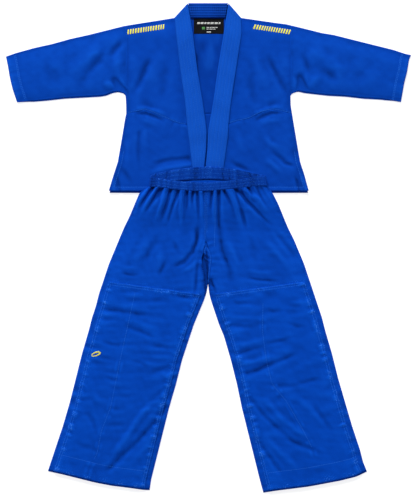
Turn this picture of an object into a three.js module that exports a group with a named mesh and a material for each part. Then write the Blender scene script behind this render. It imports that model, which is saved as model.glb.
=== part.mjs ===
// Martial arts uniform: a wrap-front jacket and a pair of elastic-waist trousers,
// laid flat on a table, the trousers' waistband resting on the jacket's skirt.
//
// Millimetres, +Z up, +Y towards the collar. The wearer's right side is at -X,
// because the garment lies on its back. The origin is on the table, under the
// middle of the whole laid-out set.
//
// Each piece of cloth is a closed solid of the cloth's own thickness. Front and
// back plies meet at the sewn sides and stand apart in between, so every sleeve,
// leg, hem and the waist stay open as they are on the garment.

import * as THREE from 'three';

// ---------------------------------------------------------------- dimensions
const CLOTH = 1.6;          // jacket cloth, pearl weave, and trouser cloth
const SEAM_GAP = 0.25;      // half the gap kept between two sewn pieces
const PLY_GAP = 0.4;        // gap between plies that lie on each other

const JACKET_LOFT = 4.6;    // how far the jacket front stands off its back
const JACKET_ROLL = 42;     // width of the rolled edge at a sewn side
const TROUSER_LOFT = 6.1;   // the same for the trousers
const TROUSER_ROLL = 44;

const LAPEL_THICK = 5.6;    // folded lapel cover with its foam core
const LAPEL_WALL = 1.25;
const BAND_THICK = 4.3;     // waistband casing with its elastic
const BAND_WALL = 1.2;
const WAIST_LOFT = 5.6;     // open waist, between the two casings
const CORE_GAP = 0.35;      // core to cover

const REST_ON_JACKET = 12.0;  // underside of the trousers where they lie on the jacket
const STEP_HIGH_Y = 148;      // the trousers leave the jacket here ...
const STEP_LOW_Y = 44;        // ... and reach the table here
const TROUSER_PLY_GAP = 0.75; // front ply to back ply at the trousers' seams

const PATCH_THICK = 1.35;   // knee patch ply
const PATCH_INSET = 14;     // knee patch to leg seam
const LABEL_THICK = 0.8;
const THREAD_THICK = 0.9;   // raised embroidery

const BLUE = 0x0545ae;
const LAPEL_BLUE = 0x1455c5;

// ------------------------------------------------------------ pattern outlines
// Each list runs along one cut edge or seam, [x, y].
const SHOULDER_R = [[-249.8, 606], [-233.2, 610.1], [-189.1, 617.3], [-142.1, 624.7], [-94.4, 632.5]];
const SIDE_R = [[-249.8, 606], [-249.8, 430.7], [-233.2, 425.2], [-227.7, 416.9], [-227.1, 392.1], [-226.9, 368.3]];
const YOKE_SEAM_R = [[-226.9, 368.3], [-189.1, 375.5], [-178, 379.1], [-158.7, 372.7], [-103.5, 349.3], [-78.7, 339.6], [-59.9, 338]];
const LAPEL_OUTER_R_UP = [[-94.4, 632.5], [-88.9, 577], [-78.7, 491.4], [-64.9, 397.6], [-59.9, 338]];
const LAPEL_OUTER_R_LOW = [[-59.9, 338], [-55.2, 301], [-45.5, 222.3], [-37.3, 155.8]];
const LAPEL_INNER_R = [[-57.1, 673], [-42.8, 588], [-30.9, 491.4], [-15.2, 397.6], [-4.7, 320.3], [-6.3, 270.6], [-11.3, 222.3], [-13.5, 155.8]];
const SKIRT_SIDE_R = [[-226.9, 368.3], [-230.5, 350.7], [-233.2, 334.1], [-238.7, 301], [-244.3, 267.9], [-249.8, 234.7], [-260.8, 201.6], [-274.6, 155.8]];
const SHOULDER_L = [[247, 607.3], [213.9, 615.1], [183.5, 618.9], [136.6, 625.8], [90.3, 632.5]];
const SIDE_L = [[247, 607.3], [247, 432.1], [230.5, 425.2], [224.9, 416.9], [226.6, 392.1], [230.5, 368.3]];
const YOKE_SEAM_L = [[230.5, 368.3], [197.3, 375.5], [175.3, 379.1], [147.7, 372.7], [109, 353.4], [73.1, 346.2], [55.8, 339.6]];
const LAPEL_OUTER_L_UP = [[90.3, 632.5], [91.4, 588], [76.7, 491.4], [62.1, 397.6], [55.8, 339.6]];
const LAPEL_OUTER_L_LOW = [[55.8, 339.6], [53.8, 301], [42.8, 222.3], [34.5, 155.8]];
const LAPEL_INNER_L = [[54.9, 673], [41.4, 588], [25.4, 491.4], [12.4, 397.6], [-1.4, 320.3], [-3, 270.6], [-8, 222.3], [-10.2, 155.8]];
const SKIRT_SIDE_L = [[230.5, 368.3], [233.2, 350.7], [236, 334.1], [241.5, 301], [247, 267.9], [252.5, 234.7], [263.6, 201.6], [276, 155.8]];
const SLEEVE_TOP_R = [[-249.8, 606], [-266.3, 601.8], [-299.5, 593.5], [-332.6, 585.3], [-382.3, 574.2], [-431.9, 560.4], [-481.6, 549.4], [-531.3, 535.6], [-558.9, 525.9]];
const SLEEVE_LOW_R = [[-249.8, 430.7], [-266.3, 429.3], [-282.9, 422.4], [-299.5, 419.7], [-349.1, 416.9], [-398.8, 414.1], [-448.5, 408.6], [-498.2, 404.5], [-528.5, 400.3]];
const CUFF_R = [[-558.9, 525.9], [-553.4, 499.7], [-547.9, 466.6], [-539.6, 433.5], [-528.5, 400.3]];
const SLEEVE_TOP_L = [[247, 607.3], [280.1, 599.1], [313.3, 590.8], [346.4, 585.3], [379.5, 577], [445.7, 560.4], [512, 543.9], [545.1, 532.8], [558.9, 530.1]];
const SLEEVE_LOW_L = [[247, 432.1], [280.1, 427.9], [329.8, 422.4], [379.5, 419.7], [429.2, 414.1], [478.9, 411.4], [512, 405.9], [531.3, 400.9]];
const CUFF_L = [[558.9, 530.1], [553.4, 516.3], [547.9, 483.1], [539.6, 450], [531.3, 400.9]];
const WB_BACK_TOP = [[-155.9, 200.2], [-120.1, 208.5], [-78.7, 216], [-45.5, 219.8], [-1.4, 222.3], [37.3, 219.8], [86.9, 212.7], [120.1, 204.4], [153.2, 198.9]];
const WB_BACK_LOW = [[-162, 167.1], [-120.1, 176.8], [-78.7, 182.3], [-45.5, 185.1], [-1.4, 186.4], [37.3, 185.1], [86.9, 180.9], [120.1, 176.2], [160.9, 168.5]];
const WB_FRONT_TOP = [[-160.1, 193.3], [-133.9, 189.2], [-103.5, 183.7], [-62.1, 179.5], [-1.4, 177.9], [48.3, 182.3], [95.2, 187.8], [131.1, 193.9], [156.8, 196.6]];
const WB_FRONT_LOW_R = [[-162.8, 167.1], [-133.9, 163.5], [-92.5, 158.6], [-51.1, 154.7], [-8.6, 153.6]];
const WB_FRONT_LOW_L = [[161.5, 168.5], [131.1, 167.9], [95.2, 163.3], [48.3, 158], [-8.6, 153.6]];
const THIGH_OUT_R = [[-162, 167.1], [-189.1, 150.6], [-202.9, 118.8], [-216.7, 85.7], [-233.2, 52.6], [-247, 19.5], [-260.8, -13.7], [-274.6, -46.8], [-285.7, -79.9], [-288.7, -89.6]];
const LEG_OUT_R = [[-288.7, -89.6], [-296.7, -113], [-302.2, -129.6], [-310.5, -162.7], [-321.5, -195.8], [-329.8, -228.9], [-349.1, -295.2], [-365.7, -361.4], [-382.3, -427.7], [-401.6, -493.9], [-423.7, -560.1], [-434.7, -593.3], [-441.6, -614]];
const THIGH_OUT_L = [[160.9, 168.5], [175.3, 150.6], [191.8, 118.8], [205.6, 85.7], [219.4, 52.6], [236, 19.5], [249.8, -13.7], [263.6, -46.8], [274.6, -79.9], [277.9, -89.6]];
const LEG_OUT_L = [[277.9, -89.6], [285.7, -113], [291.2, -129.6], [302.2, -162.7], [313.3, -195.8], [321.5, -228.9], [340.9, -295.2], [357.4, -361.4], [376.7, -427.7], [396.1, -493.9], [418.1, -560.1], [426.4, -593.3], [435.5, -615.3]];
const FRONT_RISE_R = [[-8.6, 153.6], [-7.5, 19.5], [-18.5, -30.2], [-8.8, -77.1], [-2.5, -102], [-6.1, -127.6]];
const FRONT_RISE_L = [[-8.6, 153.6], [-7.5, 19.5], [8.6, -30.2], [3, -77.1], [0.3, -102], [2.2, -127.6]];
const GUSSET = [[-7.5, 19.5], [8.6, -30.2], [3, -77.1], [-1.1, -102], [-8.8, -77.1], [-18.5, -30.2]];
const BACK_RISE_R = [[-1.4, 186.4], [-1.9, 19.5], [-1.4, -102], [-6.1, -127.6]];
const BACK_RISE_L = [[-1.4, 186.4], [-1.9, 19.5], [-0.8, -102], [2.2, -127.6]];
const LEG_IN_R = [[-6.1, -127.6], [-12.4, -146.1], [-26.2, -179.3], [-40, -212.4], [-51.1, -245.5], [-73.1, -311.7], [-89.7, -378], [-109, -444.2], [-125.6, -510.5], [-142.1, -576.7], [-158.7, -642.9], [-162, -666.1]];
const LEG_IN_L = [[2.2, -127.6], [6.9, -146.1], [17.9, -179.3], [29, -212.4], [42.8, -245.5], [62.1, -311.7], [78.7, -378], [92.5, -444.2], [109, -510.5], [125.6, -576.7], [142.1, -642.9], [150.4, -673.3]];
const HEM_R = [[-441.6, -614], [-398.8, -623.6], [-354.7, -634.7], [-310.5, -645.7], [-266.3, -654], [-222.2, -659.5], [-178, -665.6], [-162, -666.1]];
const HEM_L = [[435.5, -615.3], [407.1, -629.1], [362.9, -640.2], [318.8, -648.5], [274.6, -656.7], [230.5, -662.3], [186.3, -667.8], [150.4, -673.3]];

// ------------------------------------------------------------------- helpers
const lengthOf = (c) => {
  let s = 0;
  for (let i = 1; i < c.length; i++) s += Math.hypot(c[i][0] - c[i - 1][0], c[i][1] - c[i - 1][1]);
  return s;
};

// point at fraction t of a polyline's length
function at(c, t) {
  let s = lengthOf(c) * Math.min(1, Math.max(0, t));
  for (let i = 1; i < c.length; i++) {
    const d = Math.hypot(c[i][0] - c[i - 1][0], c[i][1] - c[i - 1][1]);
    if (s <= d || i === c.length - 1) {
      const f = d > 0 ? Math.min(1, s / d) : 0;
      return [c[i - 1][0] + (c[i][0] - c[i - 1][0]) * f, c[i - 1][1] + (c[i][1] - c[i - 1][1]) * f];
    }
    s -= d;
  }
  return c[c.length - 1].slice();
}
const sample = (c, ts) => ts.map((t) => at(c, t));
const even = (n) => Array.from({ length: n + 1 }, (_, i) => i / n);
const mix = (a, b, t) => [a[0] + (b[0] - a[0]) * t, a[1] + (b[1] - a[1]) * t];

// shortest distance from (x, y) to any of a list of polylines
function distanceTo(lines, x, y) {
  let best = 1e9;
  for (const c of lines) {
    for (let i = 1; i < c.length; i++) {
      const ax = c[i - 1][0], ay = c[i - 1][1];
      const dx = c[i][0] - ax, dy = c[i][1] - ay;
      const L = dx * dx + dy * dy;
      const t = L > 0 ? Math.min(1, Math.max(0, ((x - ax) * dx + (y - ay) * dy) / L)) : 0;
      best = Math.min(best, Math.hypot(x - ax - dx * t, y - ay - dy * t));
    }
  }
  return best;
}
const roll = (d, width) => Math.sin((Math.PI / 2) * Math.min(1, d / width));
const smooth = (t) => { const u = Math.min(1, Math.max(0, t)); return u * u * (3 - 2 * u); };

// A four-sided piece of cloth: rows from top to bottom, columns from left to right.
function quilt(top, bottom, left, right, us, vs) {
  const T = sample(top, us), B = sample(bottom, us), L = sample(left, vs), R = sample(right, vs);
  const rows = [];
  for (let j = 0; j < vs.length; j++) {
    const row = [];
    for (let i = 0; i < us.length; i++) {
      const u = us[i], v = vs[j];
      const p = [0, 1].map((k) =>
        (1 - v) * T[i][k] + v * B[i][k] + (1 - u) * L[j][k] + u * R[j][k]
        - ((1 - u) * (1 - v) * T[0][k] + u * (1 - v) * T[us.length - 1][k]
          + (1 - u) * v * B[0][k] + u * v * B[us.length - 1][k]));
      row.push(p);
    }
    rows.push(row);
  }
  return rows;
}

// Draw the outer rows and columns of a grid in by a distance.
function inset(rows, t, b, l, r) {
  const m = rows.length - 1, n = rows[0].length - 1;
  const out = rows.map((row) => row.map((p) => p.slice()));
  const pull = (j, i, jj, ii, d) => {
    const p = rows[j][i], q = rows[jj][ii];
    const k = Math.hypot(q[0] - p[0], q[1] - p[1]);
    out[j][i][0] += ((q[0] - p[0]) / k) * d;
    out[j][i][1] += ((q[1] - p[1]) / k) * d;
  };
  for (let i = 0; i <= n; i++) { if (t) pull(0, i, 1, i, t); if (b) pull(m, i, m - 1, i, b); }
  for (let j = 0; j <= m; j++) { if (l) pull(j, 0, j, 1, l); if (r) pull(j, n, j, n - 1, r); }
  return out;
}

function solid(points, faces) {
  const g = new THREE.BufferGeometry();
  g.setAttribute('position', new THREE.BufferAttribute(new Float32Array(points.flat()), 3));
  g.setIndex(faces.flat());
  g.computeVertexNormals();
  return g;
}

// Closed sheet between two height functions over a grid.
function sheet(rows, under, over) {
  const m = rows.length, n = rows[0].length;
  const pts = [];
  for (const row of rows) for (const [x, y] of row) pts.push([x, y, under(x, y)]);
  for (const row of rows) for (const [x, y] of row) pts.push([x, y, over(x, y)]);
  const lo = (j, i) => j * n + i, hi = (j, i) => m * n + j * n + i;
  const f = [];
  for (let j = 0; j < m - 1; j++) {
    for (let i = 0; i < n - 1; i++) {
      // rows run towards -Y and columns towards +X
      f.push([hi(j, i), hi(j + 1, i), hi(j + 1, i + 1)], [hi(j, i), hi(j + 1, i + 1), hi(j, i + 1)]);
      f.push([lo(j, i), lo(j + 1, i + 1), lo(j + 1, i)], [lo(j, i), lo(j, i + 1), lo(j + 1, i + 1)]);
    }
  }
  for (let i = 0; i < n - 1; i++) {
    f.push([lo(0, i), hi(0, i), hi(0, i + 1)], [lo(0, i), hi(0, i + 1), lo(0, i + 1)]);
    f.push([lo(m - 1, i), hi(m - 1, i + 1), hi(m - 1, i)], [lo(m - 1, i), lo(m - 1, i + 1), hi(m - 1, i + 1)]);
  }
  for (let j = 0; j < m - 1; j++) {
    f.push([lo(j, 0), hi(j + 1, 0), hi(j, 0)], [lo(j, 0), lo(j + 1, 0), hi(j + 1, 0)]);
    f.push([lo(j, n - 1), hi(j, n - 1), hi(j + 1, n - 1)], [lo(j, n - 1), hi(j + 1, n - 1), lo(j + 1, n - 1)]);
  }
  return solid(pts, f);
}

// Flat ply cut to an outline.
function plate(outline, z0, thick) {
  const s = new THREE.Shape(outline.map(([x, y]) => new THREE.Vector2(x, y)));
  const g = new THREE.ExtrudeGeometry(s, { depth: thick, bevelEnabled: false, steps: 1 });
  g.translate(0, 0, z0);
  return g;
}

// Loft one section, a list of [across, height], along stations. Each station has
// an open edge, a folded edge and a base height.
function loft(stations, section, caps) {
  const k = section(stations[0]).length;
  const pts = [];
  for (const s of stations) {
    const W = Math.hypot(s.fold[0] - s.open[0], s.fold[1] - s.open[1]);
    const d = [(s.fold[0] - s.open[0]) / W, (s.fold[1] - s.open[1]) / W];
    for (const [w, h] of section({ ...s, W })) pts.push([s.open[0] + d[0] * w, s.open[1] + d[1] * w, s.z + h]);
  }
  const f = [];
  const m = stations.length;
  for (let j = 0; j < m - 1; j++) {
    for (let i = 0; i < k; i++) {
      const a = j * k + i, b = j * k + ((i + 1) % k), c = a + k, d = b + k;
      f.push([a, b, d], [a, d, c]);
    }
  }
  for (const [a, b, c, d] of caps) {
    f.push([a, c, b], [a, d, c]);
    const o = (m - 1) * k;
    f.push([o + a, o + b, o + c], [o + a, o + c, o + d]);
  }
  // turn the faces round if the section and the stations give an inward solid
  let vol = 0;
  for (const [a, b, c] of f) {
    const A = pts[a], B = pts[b], C = pts[c];
    vol += A[0] * (B[1] * C[2] - B[2] * C[1]) - A[1] * (B[0] * C[2] - B[2] * C[0]) + A[2] * (B[0] * C[1] - B[1] * C[0]);
  }
  return solid(pts, vol > 0 ? f : f.map(([a, b, c]) => [a, c, b]));
}

// Cover folded round a core: two plies joined along the folded edge.
const coverSection = (T, t) => ({ W = 40 }) => [
  [0, 0], [W, 0], [W, T], [0, T], [0, T - t], [W - t, T - t], [W - t, t], [0, t],
];
const COVER_CAPS = [[0, 1, 6, 7], [1, 2, 5, 6], [2, 3, 4, 5]];
const coreSection = (T, t) => ({ W = 40 }) => [
  [1, t + CORE_GAP], [W - t - CORE_GAP, t + CORE_GAP], [W - t - CORE_GAP, T - t - CORE_GAP], [1, T - t - CORE_GAP],
];
const CORE_CAPS = [[0, 1, 2, 3]];

// shorten a band of stations at both ends
function trimEnds(st, d) {
  const s = st.map((q) => ({ ...q, open: q.open.slice(), fold: q.fold.slice() }));
  const cut = (i, j) => {
    for (const e of ['open', 'fold']) {
      const p = st[i][e], q = st[j][e];
      const k = Math.hypot(q[0] - p[0], q[1] - p[1]);
      s[i][e] = [p[0] + ((q[0] - p[0]) / k) * d, p[1] + ((q[1] - p[1]) / k) * d];
      s[i].z = st[i].z + (st[j].z - st[i].z) * (d / k);
    }
  };
  cut(0, 1);
  cut(st.length - 1, st.length - 2);
  return s;
}

const uniform = new THREE.Group();
uniform.name = 'martial_arts_uniform';
function add(name, geometry, color, roughness = 0.9) {
  const mesh = new THREE.Mesh(geometry, new THREE.MeshStandardMaterial({ color, roughness, metalness: 0 }));
  mesh.name = name;
  uniform.add(mesh);
}

// -------------------------------------------------------------- cloth heights
const jacketSides = [
  [...SHOULDER_R], SIDE_R.slice(1), SKIRT_SIDE_R.slice(0, 5),
  [...SHOULDER_L], SIDE_L.slice(1), SKIRT_SIDE_L.slice(0, 5),
  SLEEVE_TOP_R, SLEEVE_LOW_R, SLEEVE_TOP_L, SLEEVE_LOW_L,
];
const jacketUnder = (x, y) => CLOTH + PLY_GAP + JACKET_LOFT * roll(distanceTo(jacketSides, x, y), JACKET_ROLL);
const jacketOver = (x, y) => jacketUnder(x, y) + CLOTH;

const legSides = [THIGH_OUT_R, LEG_OUT_R, THIGH_OUT_L, LEG_OUT_L,
  [[-2.4, -102], ...LEG_IN_R], [[-1.2, -102], ...LEG_IN_L]];
const seatUnder = (x, y) => REST_ON_JACKET * smooth((y - STEP_LOW_Y) / (STEP_HIGH_Y - STEP_LOW_Y));
const seatOver = (x, y) => seatUnder(x, y) + CLOTH;
const legUnder = (x, y) => seatOver(x, y) + TROUSER_PLY_GAP + TROUSER_LOFT * roll(distanceTo(legSides, x, y), TROUSER_ROLL);
const legOver = (x, y) => legUnder(x, y) + CLOTH;

// --------------------------------------------------------------------- jacket
// back: body ply and skirt ply
const NECK = [[-94.4, 632.2], [-60, 669.5], [57, 669.5], [90.3, 632.2]];
add('jacket_back_panel', plate([
  ...SIDE_R.slice().reverse(), ...SHOULDER_R.slice(1, -1), ...NECK,
  ...SHOULDER_L.slice(1, -1).reverse(), ...SIDE_L, [YOKE_SEAM_L[0][0], YOKE_SEAM_L[0][1]],
].filter((p, i, a) => i === 0 || Math.hypot(p[0] - a[i - 1][0], p[1] - a[i - 1][1]) > 0.01), 0, CLOTH), BLUE);
add('jacket_back_skirt', plate([
  [SKIRT_SIDE_R[0][0], SKIRT_SIDE_R[0][1] - 0.5], ...SKIRT_SIDE_R.slice(1),
].reverse().concat([[SKIRT_SIDE_L[0][0], SKIRT_SIDE_L[0][1] - 0.5], ...SKIRT_SIDE_L.slice(1)]), 0, CLOTH), BLUE);

// fronts
const chestU = [0, 0.13, 0.3, 0.65, 1];
const chestV = [0, 0.1, 0.24, 0.5, 0.76, 0.9, 1];
const skirtV = [0, 0.35, 0.7, 1];
const frontR = quilt(SHOULDER_R, YOKE_SEAM_R, SIDE_R, LAPEL_OUTER_R_UP, chestU, chestV);
const flip = (rows) => rows.map((r) => r.slice().reverse());
const frontL = flip(quilt(SHOULDER_L, YOKE_SEAM_L, SIDE_L, LAPEL_OUTER_L_UP, chestU, chestV));
const skirtR = quilt(YOKE_SEAM_R, [SKIRT_SIDE_R.at(-1), LAPEL_OUTER_R_LOW.at(-1)], SKIRT_SIDE_R, LAPEL_OUTER_R_LOW, chestU, skirtV);
const skirtL = flip(quilt(YOKE_SEAM_L, [SKIRT_SIDE_L.at(-1), LAPEL_OUTER_L_LOW.at(-1)], SKIRT_SIDE_L, LAPEL_OUTER_L_LOW, chestU, skirtV));
const g = SEAM_GAP;
add('right_front_panel', sheet(inset(frontR, 0, g, g, 2 * g), jacketUnder, jacketOver), BLUE);
add('left_front_panel', sheet(inset(frontL, 0, g, 2 * g, g), jacketUnder, jacketOver), BLUE);
add('right_front_skirt', sheet(inset(skirtR, g, 0, 0, 2 * g), jacketUnder, jacketOver), BLUE);
add('left_front_skirt', sheet(inset(skirtL, g, 0, 2 * g, 0), jacketUnder, jacketOver), BLUE);

// lapels: folded cover and foam core, from the shoulder line to the hem
const lapelBase = (y) => {
  const k = [[680, 2.0], [633, 3.6], [589, 5.4], [492, 6.0], [340, 6.0], [270, 5.7], [222, 5.4], [150, 5.4]];
  for (let i = 1; i < k.length; i++) if (y >= k[i][1 - 1]) {
    const t = (y - k[i][0]) / (k[i - 1][0] - k[i][0]);
    return k[i][1] + (k[i - 1][1] - k[i][1]) * Math.min(1, t);
  }
  return k.at(-1)[1];
};
function lapel(up, low, inner) {
  const outer = [...sample(up, chestV), ...sample(low, skirtV).slice(1)];
  const cut = even(outer.length - 1);
  // stations share their distance down the lapel on both edges
  let s = 0; const ts = [0];
  for (let i = 1; i < outer.length; i++) { s += Math.hypot(outer[i][0] - outer[i - 1][0], outer[i][1] - outer[i - 1][1]); ts.push(s); }
  return outer.map((open, i) => {
    const fold = at(inner, ts[i] / s);
    return { open, fold, z: lapelBase((open[1] + fold[1]) / 2), n: cut[i] };
  });
}
const lapelR = lapel(LAPEL_OUTER_R_UP, LAPEL_OUTER_R_LOW, LAPEL_INNER_R);
const lapelL = lapel(LAPEL_OUTER_L_UP, LAPEL_OUTER_L_LOW, LAPEL_INNER_L);
add('right_lapel', loft(lapelR, coverSection(LAPEL_THICK, LAPEL_WALL), COVER_CAPS), LAPEL_BLUE);
add('left_lapel', loft(lapelL, coverSection(LAPEL_THICK, LAPEL_WALL), COVER_CAPS), LAPEL_BLUE);
add('right_lapel_core', loft(trimEnds(lapelR, 3), coreSection(LAPEL_THICK, LAPEL_WALL), CORE_CAPS), 0xd8d8d2);
add('left_lapel_core', loft(trimEnds(lapelL, 3), coreSection(LAPEL_THICK, LAPEL_WALL), CORE_CAPS), 0xd8d8d2);

// back of the collar, standing between the lapels' upper ends
const collarBand = even(4).map((t) => ({
  open: mix([-48.6, 633.6], [46.8, 633.6], t), fold: mix([-55.6, 673.6], [53.4, 673.6], t), z: CLOTH + PLY_GAP,
}));
add('back_collar', loft(collarBand, coverSection(LAPEL_THICK, LAPEL_WALL), COVER_CAPS), LAPEL_BLUE);
add('back_collar_core', loft(trimEnds(collarBand, 3), coreSection(LAPEL_THICK, LAPEL_WALL), CORE_CAPS), 0xd8d8d2);

// woven neck label and raised shoulder embroidery
add('neck_label', plate([[-40.6, 589.4], [42.2, 589.4], [42.2, 631.6], [-40.6, 631.6]], CLOTH + PLY_GAP, LABEL_THICK), 0x14161a);
const bar = (a, b, h) => {
  const n = [-(b[1] - a[1]), b[0] - a[0]], k = Math.hypot(...n);
  const up = [(n[0] / k) * h, (n[1] / k) * h];
  const us = even(4);
  return [1, 0, -1].map((s) => us.map((t) => { const p = mix(a, b, t); return [p[0] + up[0] * s, p[1] + up[1] * s]; }));
};
const threadUnder = (x, y) => jacketOver(x, y) + PLY_GAP;
const threadOver = (x, y) => threadUnder(x, y) + THREAD_THICK;
add('right_shoulder_embroidery', sheet(bar([-224.9, 593.6], [-121, 608.8], 7), threadUnder, threadOver), 0xd9c92f);
add('left_shoulder_embroidery', sheet(bar([123.8, 608.8], [229, 593.6], 7), threadUnder, threadOver), 0xd9c92f);

// -------------------------------------------------------------------- sleeves
const sleeveU = [0, 0.2, 0.45, 0.72, 1];
const sleeveV = [0, 0.16, 0.36, 0.64, 0.84, 1];
const ARM_R = [SLEEVE_TOP_R[0], SLEEVE_LOW_R[0]];
const ARM_L = [SLEEVE_TOP_L[0], SLEEVE_LOW_L[0]];
const sleeveR = flip(quilt(SLEEVE_TOP_R, SLEEVE_LOW_R, ARM_R, CUFF_R, sleeveU, sleeveV));
const sleeveL = quilt(SLEEVE_TOP_L, SLEEVE_LOW_L, ARM_L, CUFF_L, sleeveU, sleeveV);
add('right_sleeve_front', sheet(inset(sleeveR, 0, 0, 0, g), jacketUnder, jacketOver), BLUE);
add('left_sleeve_front', sheet(inset(sleeveL, 0, 0, g, 0), jacketUnder, jacketOver), BLUE);
const tube = (top, low, dx) => {
  const a = top.map((p) => p.slice()), b = low.map((p) => p.slice());
  a[0][0] += dx; b[0][0] += dx;
  return [...a, ...b.reverse()];
};
add('right_sleeve_back', plate(tube(SLEEVE_TOP_R, SLEEVE_LOW_R, -g * 2), 0, CLOTH), BLUE);
add('left_sleeve_back', plate(tube(SLEEVE_TOP_L, SLEEVE_LOW_L, g * 2), 0, CLOTH), BLUE);

// ------------------------------------------------------------------- trousers
const KNEE_R = [THIGH_OUT_R.at(-1), FRONT_RISE_R.at(-1)];
const KNEE_L = [THIGH_OUT_L.at(-1), FRONT_RISE_L.at(-1)];
const hipU = [0, 0.12, 0.3, 0.6, 0.85, 1];
const hipV = [0, 0.07, 0.14, 0.21, 0.28, 0.35, 0.42, 0.471, 0.65, 0.82, 0.909, 1];
const seatV = [0, 0.07, 0.14, 0.21, 0.28, 0.35, 0.42, 0.5, 0.75, 1];
const WB_BACK_LOW_R = WB_BACK_LOW.slice(0, 5), WB_BACK_LOW_L = WB_BACK_LOW.slice(4).reverse();
const seatR = quilt(WB_BACK_LOW_R, KNEE_R, THIGH_OUT_R, BACK_RISE_R, hipU, seatV);
const seatL = flip(quilt(WB_BACK_LOW_L, KNEE_L, THIGH_OUT_L, BACK_RISE_L, hipU, seatV));
const thighR = quilt(WB_FRONT_LOW_R, KNEE_R, THIGH_OUT_R, FRONT_RISE_R, hipU, hipV);
const thighL = flip(quilt(WB_FRONT_LOW_L, KNEE_L, THIGH_OUT_L, FRONT_RISE_L, hipU, hipV));
add('right_seat_panel', sheet(inset(seatR, 2 * g, g, 0, g), seatUnder, seatOver), BLUE);
add('left_seat_panel', sheet(inset(seatL, 2 * g, g, g, 0), seatUnder, seatOver), BLUE);
add('right_thigh_panel', sheet(inset(thighR, 2 * g, g, 0, 2 * g), legUnder, legOver), BLUE);
add('left_thigh_panel', sheet(inset(thighL, 2 * g, g, 2 * g, 0), legUnder, legOver), BLUE);

// diamond gusset at the crotch, between the two fronts
const riseR = sample(FRONT_RISE_R, hipV), riseL = sample(FRONT_RISE_L, hipV);
const gussetRow = (a, b) => {
  const l = [a[0] + 0.6, a[1]], r = [b[0] - 0.6, b[1]];
  return [l, mix(l, r, 0.5), r];
};
const gussetRows = [
  gussetRow(mix(riseR[7], riseR[8], 0.15), mix(riseL[7], riseL[8], 0.15)),
  ...[8, 9, 10].map((i) => gussetRow(riseR[i], riseL[i])),
];
add('crotch_gusset', sheet(gussetRows, legUnder, legOver), BLUE);

// waistband: back casing and front casing, each with its elastic
const bandStations = (openR, openL, fold, height) => {
  const open = [...sample(openR, hipU), ...sample(openL, hipU).slice(0, -1).reverse()];
  const L = lengthOf(open);
  let d = 0;
  return open.map((p, i) => {
    if (i) d += Math.hypot(p[0] - open[i - 1][0], p[1] - open[i - 1][1]);
    return { open: p, fold: at(fold, d / L), z: height(Math.min(d, L - d)) };
  });
};
const backBand = bandStations(WB_BACK_LOW_R, WB_BACK_LOW_L, WB_BACK_TOP, () => REST_ON_JACKET);
const frontBand = bandStations(WB_FRONT_LOW_R, WB_FRONT_LOW_L, WB_FRONT_TOP,
  (d) => REST_ON_JACKET + BAND_THICK + PLY_GAP + WAIST_LOFT * roll(d, 60));
add('waistband_back', loft(backBand, coverSection(BAND_THICK, BAND_WALL), COVER_CAPS), BLUE);
add('waistband_front', loft(frontBand, coverSection(BAND_THICK, BAND_WALL), COVER_CAPS), BLUE);
add('waist_elastic_back', loft(trimEnds(backBand, 3), coreSection(BAND_THICK, BAND_WALL), CORE_CAPS), 0xe6e6e2);
add('waist_elastic_front', loft(trimEnds(frontBand, 3), coreSection(BAND_THICK, BAND_WALL), CORE_CAPS), 0xe6e6e2);

// ----------------------------------------------------------------- lower legs
const legU = [0, 0.13, 0.3, 0.7, 0.87, 1];
const legV = [0, 0.25, 0.5, 0.75, 1];
const lowerR = quilt(KNEE_R, HEM_R, LEG_OUT_R, LEG_IN_R, legU, legV);
const HEM_L_IN = HEM_L;
const lowerL = flip(quilt(KNEE_L, HEM_L_IN, LEG_OUT_L, LEG_IN_L, legU, legV));
add('right_leg_front', sheet(inset(lowerR, g, 0, 0, 0), legUnder, legOver), BLUE);
add('left_leg_front', sheet(inset(lowerL, g, 0, 0, 0), legUnder, legOver), BLUE);
add('right_leg_back', sheet(inset(lowerR, g, 0, 0, 0), seatUnder, seatOver), BLUE);
add('left_leg_back', sheet(inset(lowerL, g, 0, 0, 0), seatUnder, seatOver), BLUE);
const patchUnder = (x, y) => legOver(x, y) + CORE_GAP;
const patchOver = (x, y) => patchUnder(x, y) + PATCH_THICK;
add('right_knee_patch', sheet(inset(lowerR, 4, 1.5, PATCH_INSET, PATCH_INSET), patchUnder, patchOver), BLUE);
add('left_knee_patch', sheet(inset(lowerL, 4, 1.5, PATCH_INSET, PATCH_INSET), patchUnder, patchOver), BLUE);

// small embroidered mark on the right shin
const markUnder = (x, y) => patchOver(x, y) + PLY_GAP;
const markOver = (x, y) => markUnder(x, y) + THREAD_THICK;
add('leg_embroidery', sheet(bar([-323, -300], [-297.5, -290.5], 8), markUnder, markOver), 0xd9c92f);

export default uniform;
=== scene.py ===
import math

import bpy
import numpy as np
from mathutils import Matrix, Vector, kdtree


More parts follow.
